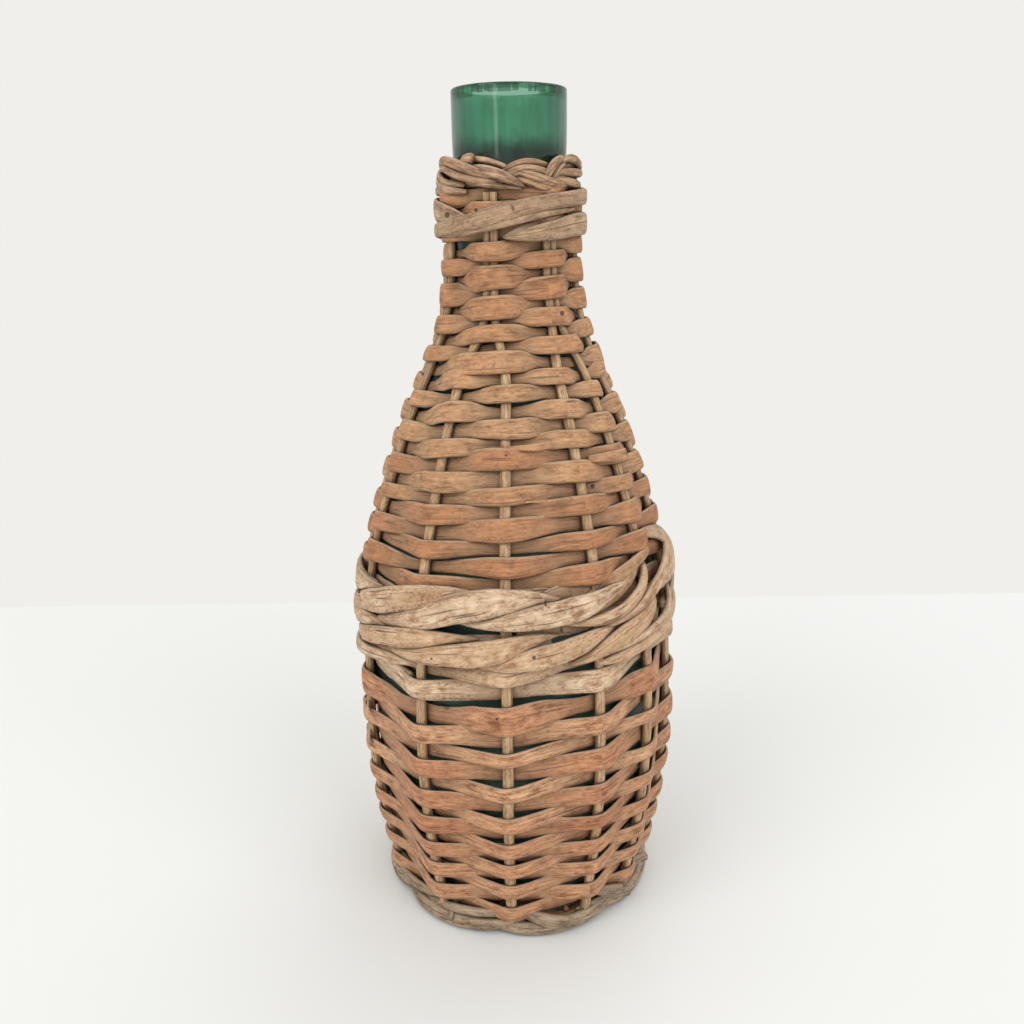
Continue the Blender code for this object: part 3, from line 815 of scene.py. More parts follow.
# The last rows of the neck, seen behind the band: (number, height, breadth in front, in dives, mm)
COLLAR_ROWS = ((0, 319.4, 7.6, 5.2), (-1, 313.8, 7.0, 5.4), (-2, 306.4, 7.4, 8.0))
# A ring of strip behind the border, which hides the glass there
LINING = [(degrees, 324.5, 1.8, 5.0) for degrees in range(-60, 301, 12)]
COLLAR_PITCH = 5
BAND_STOUT = 1.32


def tied_band(pale, tan):
    """The band round the neck, and the collar rows and the lining behind it."""
    band = Willow()
    add_rods(band, BAND_RODS, 1200, BAND_STOUT, thick=3.0, worn=0.9)
    add_rods(band, BAND_SPLITS, 1210, BAND_STOUT, thick=2.2, worn=0.7)
    band.piece("neck_band_rods", pale, "pale_willow", "neck_band")
    collar = Willow()
    for number, height, over, dive in COLLAR_ROWS:
        woven_row(collar, number, "neck", height * MM, COLLAR_PITCH * MM, over / COLLAR_PITCH,
                  dive / COLLAR_PITCH)
    add_rod(collar, LINING, 1230, thick=1.8, worn=0.2)
    collar.piece("collar_rows", tan, "tan_willow", "neck_band")


# The plaited border: thin rods in pairs, which arch up inside and tuck down outside
BORDER_FRONT = (
    ((-92, 328.5, 4.5, 2.4), (-84, 332, 4.6, 3), (-71, 333.2, 5.4, 3.1), (-53, 331.7, 6, 3.3),
     (-37, 329.5, 6.6, 3.5), (-25, 327, 6.2, 3.1), (-16, 325.4, 4.6, 1.6)),
    ((-94, 326.6, 4.5, 2.2), (-84, 330.4, 5, 2.6), (-70, 330.4, 5.4, 2.6), (-52, 327.2, 6, 2.9),
     (-32, 325, 6.2, 2.6), (-19, 324.1, 5.4, 2.2), (-9, 323.8, 4, 1.2)),
    ((-34, 329.2, 3.4, 2), (-23, 328.8, 5.4, 3.5), (-14, 327.3, 6.4, 3.8), (-4, 325.8, 6.6, 3.7),
     (5, 323.4, 6, 2.8), (12, 322, 4.6, 1)),
    ((-40, 324.2, 4, 1.4), (-26, 323.2, 5, 1.9), (-14, 322.6, 5.4, 2), (-4, 322, 5.2, 1.9),
     (10, 321.3, 4.2, 1)),
    ((-38, 332.8, 2.4, 1.4), (-30, 332.8, 2.6, 2), (-22, 332.1, 2.8, 2.2), (-13, 331, 3, 2.2),
     (-3, 329.2, 3.4, 1.6)),
    ((-12, 325.4, 3, 1.6), (-5, 328, 3.6, 2), (2, 330.3, 3.6, 2.3), (13, 331.7, 3.2, 2.3),
     (24, 331.4, 3.2, 2.1), (34, 329.8, 3.2, 1.6)),
    ((-10, 323.6, 4, 1.8), (-3, 326, 5, 2.4), (4, 328, 5.2, 3.1), (12, 328.9, 5, 3.3),
     (22, 328.4, 4.8, 3), (32, 327.2, 4.6, 2.2)),
    ((2, 328, 4.4, 1.8), (11, 327, 6, 2.2), (20, 325.3, 6.6, 2.8), (31, 323.6, 6.8, 3.1),
     (42, 322.8, 6.4, 2.9), (54, 323.4, 4.6, 1.8)),
    ((4, 325.6, 4, 1.6), (13, 324.3, 5.6, 2.4), (22, 322.2, 6.4, 2.7), (31, 320.6, 6.6, 2.7),
     (41, 319.6, 6.6, 2.6), (48, 321.1, 6.8, 2.4), (53, 323, 5.4, 1.6)),
    ((29, 322.4, 4, 2), (30, 325.3, 5.8, 2.8), (32, 328.4, 6.4, 3.2), (37, 331.2, 5.8, 3.2),
     (44, 332.8, 4.6, 2.8), (52, 332.6, 3, 1.8)),
    ((35, 322, 4, 1.6), (36.5, 325, 5.4, 2), (40, 328, 5.8, 2.6), (46, 329.9, 5.2, 2.4),
     (54, 330.4, 3.4, 1.6)),
    ((38, 327, 4, 1.8), (45, 327.3, 6, 2.4), (56, 327.4, 6.8, 2.6), (70, 327.4, 6.8, 2.6),
     (86, 327.4, 6.2, 2.6), (102, 327, 4, 1.8)),
    ((38, 325.4, 4, 2), (46, 324.6, 6, 2.8), (56, 323.3, 6.8, 3.1), (70, 322.8, 6.6, 2.8),
     (88, 322.6, 5.8, 2.2), (104, 322.6, 4, 1.4)),
    ((50, 331, 3.4, 1.6), (57, 334.2, 4, 2.4), (64, 333.8, 5, 3), (73, 331, 5.8, 3.1),
     (86, 329.2, 6, 3), (100, 328, 4, 2)),
)
BORDER_INSIDE = ((44, 327, 2.6, 2), (54, 330, 3, 3), (66, 331, 3, 3), (78, 328.6, 2.8, 2.2))
BORDER_KNOB = (
    (-44, 329, 3.4, 2.8), (-41, 331.4, 4.6, 3.6), (-36, 333.4, 5, 3.8), (-31, 332.6, 4.4, 3),
)
BORDER_PAIR = (
    (0, 325, 3.6, 1.7), (5, 328, 4, 2.3), (11, 330.8, 3.8, 2.7), (19, 332.2, 3.2, 2.6),
    (27, 331.6, 3.6, 2.5), (34, 329.9, 5, 2.6), (43, 327.4, 6.4, 2.8), (54, 325.2, 6.8, 3),
    (66, 323.6, 6.4, 2.8), (77, 322.9, 5, 2.2), (86, 323, 3.8, 1.4),
)
BORDER_STARTS = (66, 99, 132, 165, 198, 231)
BORDER_STOUT = 1.22


def set_round(points, starts, sunk=0, outside=0):
    """Copies of a rod's points from each start, in degrees, set lower and further out."""
    return [
        [(start + d, z - sunk, off + outside, w) for d, z, off, w in points] for start in starts
    ]


def plaited_border(pale):
    """The plait that closes the top of the jacket."""
    border = Willow()
    laid = {"thick": 3.6, "kind": "rod", "worn": 0.6}
    add_rods(border, BORDER_FRONT + (BORDER_KNOB, BORDER_INSIDE), 1300, BORDER_STOUT, **laid)
    upper = set_round(BORDER_PAIR, BORDER_STARTS)
    lower = set_round(BORDER_PAIR, [start + 4 for start in BORDER_STARTS], 2.5, 0.6)
    for i, pair in enumerate(zip(upper, lower)):
        add_rods(border, pair, 1340 + 2 * i, BORDER_STOUT, **laid)
    border.piece("neck_border_plait", pale, "pale_willow", "neck_border")


# The foot: stout rods laid round like a rope, (degrees, height mm, distance from the axis mm,
# width mm), under the last two rows of the weaving
FOOT_LOW = (
    (0, 4.6, 58.5, 3.6), (7, 4.0, 60.8, 5.6), (18, 3.6, 62.2, 6.6), (34, 3.8, 62.6, 6.8),
    (48, 4.8, 62.2, 6.0), (58, 6.6, 61, 4.6), (66, 8.6, 59.5, 2.6),
)
FOOT_HIGH = (
    (0, 6.0, 59.0, 2.4), (8, 7.4, 61.0, 3.8), (20, 9.0, 62.0, 4.6), (34, 10.6, 62.0, 4.6),
    (46, 12.4, 61.2, 4.0), (56, 14.2, 59.5, 2.4),
)
FOOT_LOW_STARTS = (-112, -62, -14, 34, 80, 124, 168, 210)
FOOT_HIGH_STARTS = (-118, -82, -50, 26, 60, 92, 128, 162, 196, 226)
FOOT_STUBS = (
    ((2, 10.4, 59, 5.4), (8, 8.6, 62.6, 6.6), (14, 7.8, 65.4, 6.8), (19, 7.6, 66.4, 6.2)),
    ((33, 14.6, 59, 4.6), (40, 12.4, 63, 5.6), (46, 11.6, 66.2, 5.4)),
    ((38, 9.6, 60, 4.4), (45, 8.2, 64, 5.2), (50, 7.8, 66.4, 5)),
    ((54, 16.6, 59, 4.4), (61, 14.8, 63, 5), (67, 14, 66, 4.6)),
    ((-31, 9.6, 58, 3.4), (-30, 7.2, 62, 3.8), (-29.4, 5.4, 65.8, 3.6)),
)
FOOT_ROWS = ((38, 21.0, 5.9), (39, 14.6, 5.8))


def rope_foot(pale, brown):
    """The twisted foot with its cut stake ends, and the last two rows of the weaving."""
    foot = Willow()
    laid = {"kind": "rod", "on_glass": False}
    add_rods(foot, set_round(FOOT_LOW, FOOT_LOW_STARTS), 1400, thick=6.4, worn=0.55, **laid)
    add_rods(foot, set_round(FOOT_HIGH, FOOT_HIGH_STARTS), 1420, thick=5.0, worn=0.35, **laid)
    add_rods(foot, FOOT_STUBS, 1450, thick=6.0, worn=0.2, **laid)
    foot.piece("foot_rope", pale, "pale_willow", "foot_border")
    rows = Willow()
    for number, height, pitch in FOOT_ROWS:
        woven_row(rows, number, "body", height * MM, pitch * MM, OVER_BODY, DIVE_BODY)
    rows.piece("foot_rows", brown, "brown_willow", "foot_border")


# The woven base, seen when the demijohn is laid down: crossed sticks, and rings of strip between
BASE_STICKS = 8
BASE_STICK_POINTS = 61
BASE_STICK_BREADTH, BASE_STICK_THICK = 2.8 * MM, 2.6 * MM
BASE_EDGE = 1.5 * MM
# How far the sticks rise or sink where they cross, and over what length
BASE_CROSS_RISE, BASE_CROSS = 0.5 * MM, 14 * MM
BASE_RINGS = 11
BASE_FIRST_RING = 9 * MM
BASE_RING_STEP = 4.7 * MM
BASE_RING_BREADTH, BASE_RING_THICK = 4.9 * MM, 2.2 * MM
BASE_WEAVE = 1.6 * MM
BASE_WANDER = 0.4 * MM


def woven_base(brown):
    """Sticks that cross in the middle, with strips woven round between them."""
    base = Willow()
    low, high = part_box("base_disc")
    middle = (low.z + high.z) / 2
    reach = high.x - BASE_EDGE
    up = np.array([[0.0, 0.0, 1.0]])
    for i in range(BASE_STICKS):
        turn = math.pi * i / BASE_STICKS
        far = np.linspace(-reach, reach, BASE_STICK_POINTS)
        rise = BASE_CROSS_RISE * math.sin(3 * turn + 1) * np.exp(-((far / BASE_CROSS) ** 2))
        stick = np.stack([far * math.sin(turn), -far * math.cos(turn), middle + rise], -1)
        base.sweep(stick, np.repeat(up, len(far), 0), BASE_STICK_BREADTH, BASE_STICK_THICK,
                   kind="rod", worn=0.4, shade=0.2, seed=1500 + i)
    for i in range(BASE_RINGS):
        radius = BASE_FIRST_RING + i * BASE_RING_STEP
        count = max(60, int(TURN * radius / (1.5 * MM)))
        turn = np.arange(count) / count * TURN
        weave = BASE_WEAVE * np.cos(turn * BASE_STICKS + math.pi * i)
        wander = radius + BASE_WANDER * drift(turn, TURN, 0.7, 1520 + i)
        ring = np.stack([wander * np.sin(turn), -wander * np.cos(turn), middle + weave], -1)
        base.sweep(ring, np.repeat(up, count, 0), BASE_RING_BREADTH, BASE_RING_THICK, closed=True,
                   worn=0.4, shade=chance_shade(1540 + i), seed=1540 + i)
    base.piece("base_weave", brown, "brown_willow", "base_disc")


def camera():
    """The photograph's view, from the values at the top."""
    data = bpy.data.cameras.new("camera")
    data.sensor_width = SENSOR_MM
    data.lens = SENSOR_MM * FOCAL_PX / PHOTO_PX
    data.shift_x = -(CENTRE_X_PX - PHOTO_PX / 2) / PHOTO_PX
    data.clip_start = 0.01
    made = placed("camera", data)
    pitch = Matrix.Rotation(math.radians(90 - CAMERA_PITCH_DEG), 4, "X")
    roll = Matrix.Rotation(math.radians(CAMERA_ROLL_DEG), 4, "Z")
    place = Matrix.Translation((0, -CAMERA_BACK, CAMERA_UP))
    made.matrix_world = place @ pitch @ roll
    bpy.context.scene.camera = made


def linear(code):
    """An sRGB hex colour as linear red, green, blue and one."""
    parts = [int(code[i : i + 2], 16) / 255 for i in (1, 3, 5)]
    return tuple(
        p / 12.92 if p <= 0.04045 else ((p + 0.055) / 1.055) ** 2.4 for p in parts
    ) + (1.0,)


def add(tree, kind, inputs=(), out=0, **settings):
    """Adds a node, sets its settings and its inputs, and returns one output, or the node.

    Inputs are given in order or by name, each as a value or as the output it is linked to.
    """
    node = tree.nodes.new("ShaderNode" + kind)
    for setting, value in settings.items():
        setattr(node, setting, value)
    named = inputs.items() if isinstance(inputs, dict) else enumerate(inputs)
    for place, value in named:
        if isinstance(value, bpy.types.NodeSocket):
            tree.links.new(value, node.inputs[place])
        else:
            node.inputs[place].default_value = value
    return node.outputs[out] if node.outputs else node


def blank(name):
    """A new material and its empty node tree."""
    made = bpy.data.materials.new(name)
    made.use_nodes = True
    tree = made.node_tree
    tree.nodes.clear()
    return made, tree


WALL_COLOUR = "#F0EFEB"
TABLE_COLOUR = "#ECEEED"
# The table's far edge, which is the line behind the demijohn, and its reach to the other sides
TABLE_BACK = 0.333
TABLE_REACH = 3.0
ROOM_LIGHT = 0.88
AIM = (0, 0, 0.15)
# (name, place, breadth and height, power, tint); the narrow one draws the streak on the glass
LAMPS = (
    ("window", (-2.45, -2.15, 2.9), (2.4, 2.4), 45.5, "#FFFFFF"),
    ("room", (2.4, -2.6, 2.6), (2.8, 2.8), 46.0, "#F8FAFF"),
    ("window edge", (-1.36, -2.68, 0.57), (0.36, 2.0), 4.0, "#FFFFFF"),
    ("ceiling", (0.9, 1.5, 2.6), (2.0, 1.6), 11.0, "#FFFEFC"),
)


def studio():
    """Pale table, pale room and a big soft window light from the upper left."""
    scene = bpy.context.scene
    scene.view_settings.view_transform = "Standard"
    world = bpy.data.worlds.new("pale room")
    scene.world = world
    world.use_nodes = True
    tree = world.node_tree
    tree.nodes.clear()
    seen = add(tree, "Background", (linear(WALL_COLOUR), 1.0))
    felt = add(tree, "Background", (linear(WALL_COLOUR), ROOM_LIGHT))
    rays = add(tree, "LightPath", out="Is Camera Ray")
    add(tree, "OutputWorld", (add(tree, "MixShader", (rays, felt, seen)),))
    for name, place, size, power, tint in LAMPS:
        data = bpy.data.lights.new(name, "AREA")
        data.shape = "RECTANGLE"
        data.size, data.size_y = size
        data.energy = power
        data.color = linear(tint)[:3]
        lamp = placed(name, data)
        lamp.location = place
        lamp.rotation_mode = "QUATERNION"
        lamp.rotation_quaternion = (Vector(AIM) - Vector(place)).to_track_quat("-Z", "Y")
    mesh = bpy.data.meshes.new("table")
    side = TABLE_REACH
    corners = [(-side, -side, 0), (side, -side, 0), (side, TABLE_BACK, 0), (-side, TABLE_BACK, 0)]
    mesh.from_pydata(corners, [], [(0, 1, 2, 3)])
    table, tree = blank("painted table")
    paint = {"Base Color": linear(TABLE_COLOUR), "Roughness": 0.6}
    add(tree, "OutputMaterial", (add(tree, "BsdfPrincipled", paint),))
    mesh.materials.append(table)
    floor = placed("table", mesh)


def marks_along(tree, grain, along_mm, across_mm, detail=3.0, rough=0.55):
    """Noise stretched along the grain, from the real length and breadth of its marks."""
    scale = (1 / (along_mm * MM), 1 / (across_mm * MM), 1)
    stretched = add(tree, "VectorMath", (grain, scale), operation="MULTIPLY")
    look = {"Vector": stretched, "Scale": 1.0, "Detail": detail, "Roughness": rough}
    return add(tree, "TexNoise", look)


def dots_in(tree, grain, apart_mm, wide_mm, chance):
    """Round dots of a real width, at a few of the places that lie a distance apart."""
    scale = 1 / (apart_mm * MM)
    spread = add(tree, "VectorMath", (grain, (scale, scale, 1)), operation="MULTIPLY")
    far = add(tree, "TexVoronoi", {"Vector": spread, "Scale": 1.0})
    which = add(tree, "TexVoronoi", {"Vector": spread, "Scale": 1.0}, out="Color")
    kept = add(tree, "Math", (which, chance), operation="LESS_THAN")
    near = add(tree, "Math", (far, wide_mm / apart_mm, 0.02), operation="COMPARE")
    inside = add(tree, "Math", (far, wide_mm / apart_mm), operation="LESS_THAN")
    soft = add(tree, "Math", (near, 0.4, inside), operation="MULTIPLY_ADD")
    return add(tree, "Math", (kept, soft), operation="MULTIPLY")


# Woodworm holes and small knots that the photograph shows: (mm to the right, height mm, radius mm)
WORM_HOLES = (
    (-8.3, 116.5, 0.60), (-34.3, 141.0, 0.50), (6.9, 144.6, 0.75), (11.7, 165.5, 0.45),
    (-13.4, 313.5, 0.75), (-3.0, 221.3, 0.45), (32.0, 205.4, 0.90), (-22.1, 275.0, 0.80),
    (20.4, 273.3, 0.90), (-25.2, 311.8, 1.10),
)


def bored(tree, place):
    """More than one in a woodworm hole, and less elsewhere."""
    flat = add(tree, "VectorMath", (place, (1, 0, 1)), operation="MULTIPLY")
    deepest = 0.0
    for x, z, radius in WORM_HOLES:
        hole = (x * MM, 0, z * MM)
        far = add(tree, "VectorMath", (flat, hole), out="Value", operation="DISTANCE")
        deep = add(tree, "Math", (radius * MM, far), operation="DIVIDE")
        deepest = add(tree, "Math", (deepest, deep), operation="MAXIMUM")
    return deepest


def summed(tree, start, *shares):
    """A start value with a share of each of several values added."""
    for value, share in shares:
        start = add(tree, "Math", (value, share, start), operation="MULTIPLY_ADD")
    return start


def layered(tree, colour, *layers):
    """A colour under layers of (value, where it starts, where it is full, how strong, colour)."""
    for value, start, full, strong, over in layers:
        ends = {"Value": value, "From Min": start, "From Max": full, "To Max": strong}
        share = add(tree, "MapRange", ends)
        colour = add(tree, "Mix", {0: share, 6: colour, 7: linear(over)}, out=2, data_type="RGBA")
    return colour


# a dark earthy brown for cracks and knots, also used for painted shade in crevices and along strip
# edges
SOIL_AND_SHADE = "#553F30"
# pale colour of the painted highlight on upward faces and rims
TOP_HIGHLIGHT = "#EBD5B8"
HOLE = "#2C1E17"
# Height under which damp greys the willow, and how far off a surface the painted shade in crevices
# reaches
DAMP_TOP_Z = 30 * MM
CREVICE = 3.5 * MM
BUMP_DEPTH = 0.7 * MM


def willow_finish(name, light, dark, glow, grey, bark, contrast=1.0, scraps=0.25, knots=0.3,
                  fine=1.0, rough=0.6):
    """Willow: pale and dark wood in streaks, greyed in the dives by painted shade, with bark,
    splits and dirt.
    """
    made, tree = blank(name)
    grain = add(tree, "UVMap", uv_map="Grain")
    worn, rim, shade = (
        add(tree, "Attribute", out="Fac", attribute_name=held) for held in ("worn", "rim", "shade")
    )
    # fibres finer than half a millimetre don't show from here, so they are drawn that coarse
    streak = marks_along(tree, grain, 14, 1.0, 4.0, 0.7)
    fibre = marks_along(tree, grain, 4.5, 0.55, 2.0)
    blotch = marks_along(tree, grain, 7, 3.0, 5.0, 0.7)
    speck = marks_along(tree, grain, 1.6, 0.9, 3.0, 0.6)
    drifting = marks_along(tree, grain, 45, 8, 2.0)
    crack = marks_along(tree, grain, 30, 0.5, 0.0)
    upward = add(tree, "SeparateXYZ", (add(tree, "NewGeometry", out="Normal"),), out="Z")
    shares = (1.7 * contrast * fine, 1.5 * contrast, 1.2 * contrast * fine, 0.8)
    tone = summed(tree, 0.5 - sum(shares) / 2, *zip((streak, blotch, fibre, drifting), shares))
    # crests lighter and warmer where a strip stands out in front: a painted highlight, with random
    # drift and the row's redness
    lit_crest = summed(tree, 0.0, (worn, 1.0), (drifting, 1.2), (shade, 0.25))
    warm = layered(
        tree, linear(light), (shade, -0.3, 1.0, 0.60, glow), (lit_crest, 1.20, 1.90, 0.35, glow)
    )
    wood = add(tree, "Mix", {0: tone, 6: linear(dark), 7: warm}, out=2, data_type="RGBA")
    edge = summed(tree, 0.0, (blotch, 0.7), (rim, 1.0))
    dive = summed(tree, 0.0, (blotch, 0.9), (worn, -1.0))
    left = summed(tree, 0.0, (speck, 0.45), (streak, 0.25), (drifting, 0.45), (rim, 0.10))
    side = summed(tree, 0.0, (speck, 0.15), (rim, 1.0))
    patchy = summed(tree, 0.0, (drifting, 0.7), (blotch, 0.5))
    # lighter on upward faces and rims, where light from above falls: a painted highlight
    painted_top_highlight = summed(tree, 0.0, (rim, 0.8), (upward, 0.7), (blotch, 0.6))
    # painted shade in crevices: darker where ambient occlusion finds nearby surfaces
    open_air = add(tree, "AmbientOcclusion", {"Distance": CREVICE}, out="AO", samples=8)
    painted_crevice_shade = summed(tree, 0.0, (speck, 0.25), (open_air, 1.0))
    place = add(tree, "NewGeometry", out="Position")
    low = summed(tree, 0.0, (blotch, -0.02), (add(tree, "SeparateXYZ", (place,), out="Z"), 1.0))
    wood = layered(
        tree, wood,
        # greyed where a strip dives behind a stake: painted shade, broken up by blotches
        (dive, -0.45, 0.30, 0.55, grey),
        # greyed at the strip edges: dirt, and painted shade where the edges turn away
        (edge, 1.18, 1.55, 0.50, grey),
        (speck, 0.56, 0.70, 0.35, grey),
        (left, 0.72 - 0.05 * scraps, 0.77 - 0.03 * scraps, 0.30 + 0.35 * scraps, bark),
        # a dark line along each strip's very edge: a painted shadow between strips
        (side, 1.01, 1.07, 0.50, SOIL_AND_SHADE),
        (crack, 0.69, 0.74, 0.55 + 0.25 * scraps, SOIL_AND_SHADE),
        (patchy, 0.62, 0.74, 0.65 * scraps, dark),
        # pale on upward faces and rims: painted highlight
        (painted_top_highlight, 1.25, 1.75, 0.40, TOP_HIGHLIGHT),
        (dots_in(tree, grain, 15, 0.6, knots), 0.0, 1.0, 0.8, SOIL_AND_SHADE),
        (dots_in(tree, grain, 37, 1.4, knots * 0.7), 0.0, 1.4, 0.75, bark),
        (bored(tree, place), 0.80, 1.15, 0.85, HOLE),
        # darker in crevices: painted shade
        (painted_crevice_shade, 0.92, 0.40, 0.80, SOIL_AND_SHADE),
        (low, DAMP_TOP_Z - 0.01, -0.03, 0.30, grey),
    )
    relief = summed(tree, 0.0, (fibre, 0.35), (streak, 0.7), (blotch, 0.7))
    bump = add(tree, "Bump", {"Strength": 0.9, "Distance": BUMP_DEPTH, "Height": relief})
    look = {"Base Color": wood, "Roughness": summed(tree, rough - 0.15, (streak, 0.3)),
            "Normal": bump}
    add(tree, "OutputMaterial", (add(tree, "BsdfPrincipled", look),))
    return made


# Light that passes once through the glass, and through its dust and smears, with a painted
# reflection and painted dark reflections on the lip's front
GLASS_TINT = "#B8FFE1"
GLASS_BODY = {"Color": (0.62, 0.65, 0.64, 1.0), "Density": 500.0}
FILM_TINT = "#4E6F64"
# the darker green of the lip's front, and the dark blocks over its top, are painted dark
# reflections
LIP_TINT = "#62C696"
DULL_TINT = "#7CC9A6"
# pale green of the painted reflection under the lip
REFLECTION_TINT = "#C2FFE0"
LIP_DARK_REFLECTION = "#2F5145"
LIP_LOW = 355.2 * MM
DARK_REFLECTION_LOW = 356.7 * MM
# The painted reflection under the lip: its middle, and half its breadth and height
REFLECTION_PATCH = (-0.8 * MM, 355.9 * MM, 13.0 * MM, 1.9 * MM)
# Heights between which the film of dust inside grows to its full strength, colour first, then haze
FILM_TOP, FILM_FULL = 352.5 * MM, 345.5 * MM


def marks_up(tree, place, per_metre, detail, rough=0.5):
    """Noise in space, from the number of its marks in a metre along each axis."""
    drawn = add(tree, "VectorMath", (place, per_metre), operation="MULTIPLY")
    look = {"Vector": drawn, "Scale": 1.0, "Detail": detail, "Roughness": rough}
    return add(tree, "TexNoise", look)


def boxed(tree, place, rough, behind, middle_x, middle_z, half_x, half_z):
    """Less than one on a rough-edged oblong on the front of the glass, and more elsewhere."""
    x, z = (add(tree, "SeparateXYZ", (place,), out=axis) for axis in "XZ")
    x = add(tree, "Math", (x, 1 / half_x, -middle_x / half_x), operation="MULTIPLY_ADD")
    z = add(tree, "Math", (z, 1 / half_z, -middle_z / half_z), operation="MULTIPLY_ADD")
    x, z = (add(tree, "Math", (far,), operation="ABSOLUTE") for far in (x, z))
    reach = add(tree, "Math", (x, z), operation="MAXIMUM")
    return summed(tree, -0.45, (reach, 1.0), (rough, 0.9), (behind, 9.0))


def glass_finish():
    """Blown green glass: clear at the mouth, with painted reflections on the lip's front, and
    dimmed by a film of dust inside lower down.
    """
    made, tree = blank("green bottle glass, blown")
    place = add(tree, "NewGeometry", out="Position")
    height = add(tree, "SeparateXYZ", (place,), out="Z")
    depth = add(tree, "SeparateXYZ", (place,), out="Y")
    behind = add(tree, "Math", (depth, 0.0), operation="GREATER_THAN")
    # patches of dust 11 mm wide, ragged edges 3 by 11 mm, and upright bars 3 mm wide
    cloud = marks_up(tree, place, (90, 90, 90), 3.0)
    ragged = marks_up(tree, place, (300, 300, 90), 3.0)
    bars = marks_up(tree, place, (330, 330, 0), 1.0)
    film = summed(tree, height, (cloud, 0.011), (bars, 0.010))
    lip = summed(tree, height, (behind, -1.0))
    # smears 7 mm wide and 45 mm tall
    smear = marks_up(tree, place, (150, 150, 22), 3.0, 0.6)
    # a painted reflection under the lip, on the front only
    painted_reflection = boxed(tree, place, ragged, behind, *REFLECTION_PATCH)
    # dark upright blocks over the lip's top, on the front only: painted dark reflection
    painted_dark_reflection = add(tree, "Math", (lip, DARK_REFLECTION_LOW), operation="GREATER_THAN")
    painted_dark_reflection = add(tree, "Math", (painted_dark_reflection, bars), operation="MULTIPLY")
    tint = layered(
        tree, linear(GLASS_TINT),
        (smear, 0.46, 0.66, 0.55, DULL_TINT),
        # darker green on the front of the lip: painted dark reflection
        (lip, LIP_LOW, LIP_LOW + 0.4 * MM, 1.0, LIP_TINT),
        (painted_reflection, 1.03, 0.97, 1.0, REFLECTION_TINT),
        (painted_dark_reflection, 0.51, 0.53, 0.85, LIP_DARK_REFLECTION),
        (film, FILM_TOP, FILM_FULL, 1.0, FILM_TINT),
    )
    dust = add(tree, "MapRange", {"Value": film, 1: 0.333, 2: 0.348, 3: 0.65, 4: 1.0})
    dull = add(tree, "MapRange", {"Value": film, 1: 0.330, 2: 0.345, 3: 0.45, 4: 0.03})
    look = {"Base Color": tint, "Roughness": dull, "IOR": 1.5, "Transmission Weight": dust}
    add(tree, "OutputMaterial", (
        add(tree, "BsdfPrincipled", look), add(tree, "VolumeAbsorption", GLASS_BODY),
    ))
    return made


GLASS_SIDES = 160
# How much the blown wall is out of round
GLASS_WAVE = 0.003
GLASS_STEP = 2.5 * MM
GLASS_WALL_FROM_Z = 21 * MM
# The pushed-up foot, outside from the middle to the wall and inside back to the middle: (distance
# from the axis, height over the foot, mm)
PUNT_OUTSIDE = ((0, 6), (18, 5), (30, 3.5), (40, 0.8), (46, 0), (51.5, 1.6), (55.5, 5.5))
PUNT_INSIDE = ((52.5, 8.5), (47, 4.5), (40, 4.5), (30, 6.8), (18, 8.4), (0, 9.2))


def lathed(profile, name, finish):
    """A closed turned shell, a little out of round, from (radius, height) points.

    The points start and end on the axis.
    """
    turn = np.arange(GLASS_SIDES) / GLASS_SIDES * TURN
    points, rings = [], []
    for radius, height in profile:
        if radius < 1e-6:
            rings.append([len(points)])
            points.append((0, 0, height))
            continue
        wave = np.sin(2 * turn + 40 * height) + 0.6 * np.sin(5 * turn - 90 * height)
        r = radius * (1 + GLASS_WAVE * wave)
        rings.append(list(range(len(points), len(points) + GLASS_SIDES)))
        points += [(ri * math.sin(t), -ri * math.cos(t), height) for ri, t in zip(r, turn)]
    faces = []
    for a, b in zip(rings, rings[1:]):
        for k in range(GLASS_SIDES):
            m = (k + 1) % GLASS_SIDES
            if len(a) == 1:
                faces.append((a[0], b[m], b[k]))
            elif len(b) == 1:
                faces.append((a[k], a[m], b[0]))
            else:
                faces.append((a[k], a[m], b[m], b[k]))
    mesh = bpy.data.meshes.new(name)
    mesh.from_pydata(points, [], faces)
    mesh.shade_smooth()
    mesh.materials.append(finish)
    return placed(name, mesh)


def lip_bend(middle, degrees):
    """(radius, height) round the lip's edge, whose bend has its middle at a radius."""
    return [
        (middle + LIP_ROUND * math.cos(t), BOTTLE_H - LIP_ROUND + LIP_ROUND * math.sin(t))
        for t in np.radians(degrees)
    ]


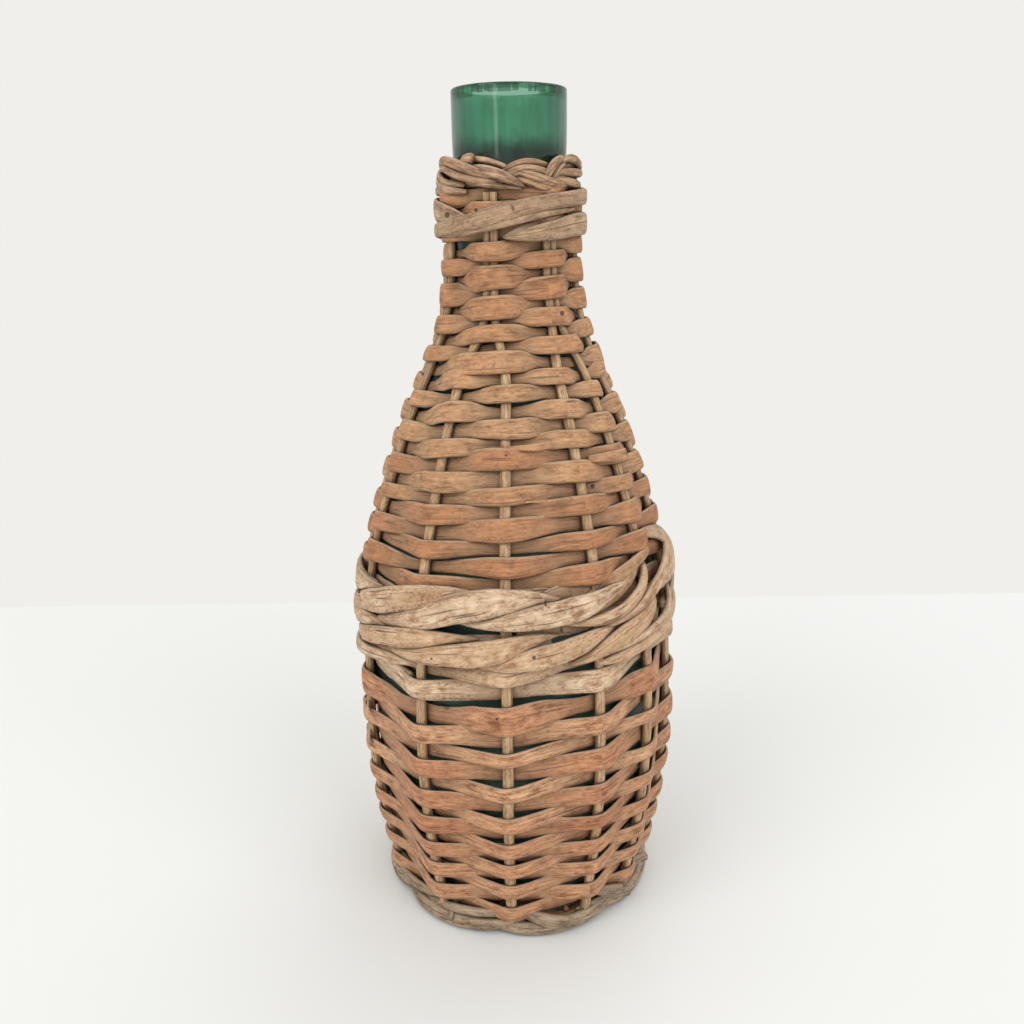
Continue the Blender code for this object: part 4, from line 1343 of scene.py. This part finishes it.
def blown_bottle(finish):
    """The bottle's shell: up the outside, over the rounded lip and down the inside."""
    outside_r = float(glass_r(BOTTLE_H))
    heights = np.arange(GLASS_WALL_FROM_Z, BOTTLE_H - LIP_ROUND, GLASS_STEP)
    outside = [(float(glass_r(z)), float(z)) for z in heights]
    inside = [(r - GLASS_WALL, z) for r, z in outside[::-1]]
    lip = lip_bend(outside_r - LIP_ROUND, (0, 22, 45, 67, 90))
    inner_lip = lip_bend(outside_r - GLASS_WALL + LIP_ROUND, (90, 120, 150, 180))
    heel, floor = (
        [(r * MM, GLASS_FOOT_Z + z * MM) for r, z in punt] for punt in (PUNT_OUTSIDE, PUNT_INSIDE)
    )
    made = lathed(heel + outside + lip + inner_lip + inside + floor, "blown_glass", finish)
    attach(made, "root")
    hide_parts("glass_bottle")


camera()
studio()
# Split willow, cut and smoothed by the knife: satin bands with fine streaks along them
tan = willow_finish("split willow, buff", "#E9B686", "#7C5434", "#C67B4E", "#82684F", "#5E4230",
                    contrast=1.2, fine=0.65)
# Split willow from brown rods: redder, with darker streaks
brown = willow_finish("split willow, red brown", "#FBC99A", "#7E4828", "#C47549", "#8C694C",
                      "#5E3D2A", contrast=1.5, fine=0.6)
# Whole rods with the bark scraped off, bleached by years of light: pale, with scraps of bark
pale = willow_finish("scraped willow rod, bleached", "#FBE0BE", "#966A44", "#DCAA7C", "#8F7359",
                     "#704329", contrast=1.75, scraps=1.0, knots=0.4, fine=0.45)
# The same rods where hands and damp have greyed them
worn_grey = willow_finish("scraped willow rod, greyed", "#DBB996", "#79593F", "#C99F78",
                          "#7A644F", "#4E382A", contrast=1.5, scraps=0.6, knots=0.4, fine=0.6)
# Thin rods that many hands have browned, lighter on top by a painted highlight
browned = willow_finish("scraped willow rod, browned", "#E6BC94", "#6E4F3A", "#DBA274",
                        "#7D654E", "#483225", contrast=1.5, scraps=0.6)
# Rods at the foot, which soak up damp: bleached, and dark with soil, with a painted highlight on
# their tops and painted shade in their joints
damp = willow_finish("scraped willow rod, damp-stained", "#E2C6A3", "#553D2B", "#CBA680",
                     "#7D6B57", "#42321F", contrast=2.0, scraps=0.9, fine=0.65)
# Round peeled sticks: pale, with brown streaks
stake_finish = willow_finish("round willow stake, peeled", "#E3BE92", "#8E6A48", "#D6AF82",
                             "#8E755D", "#6E563F", contrast=1.4)
blown_bottle(glass_finish())
laid_stakes(stake_finish)
weaving(tan, brown, pale)
wales(pale, tan)
tied_band(worn_grey, tan)
plaited_border(browned)
rope_foot(damp, brown)
woven_base(brown)
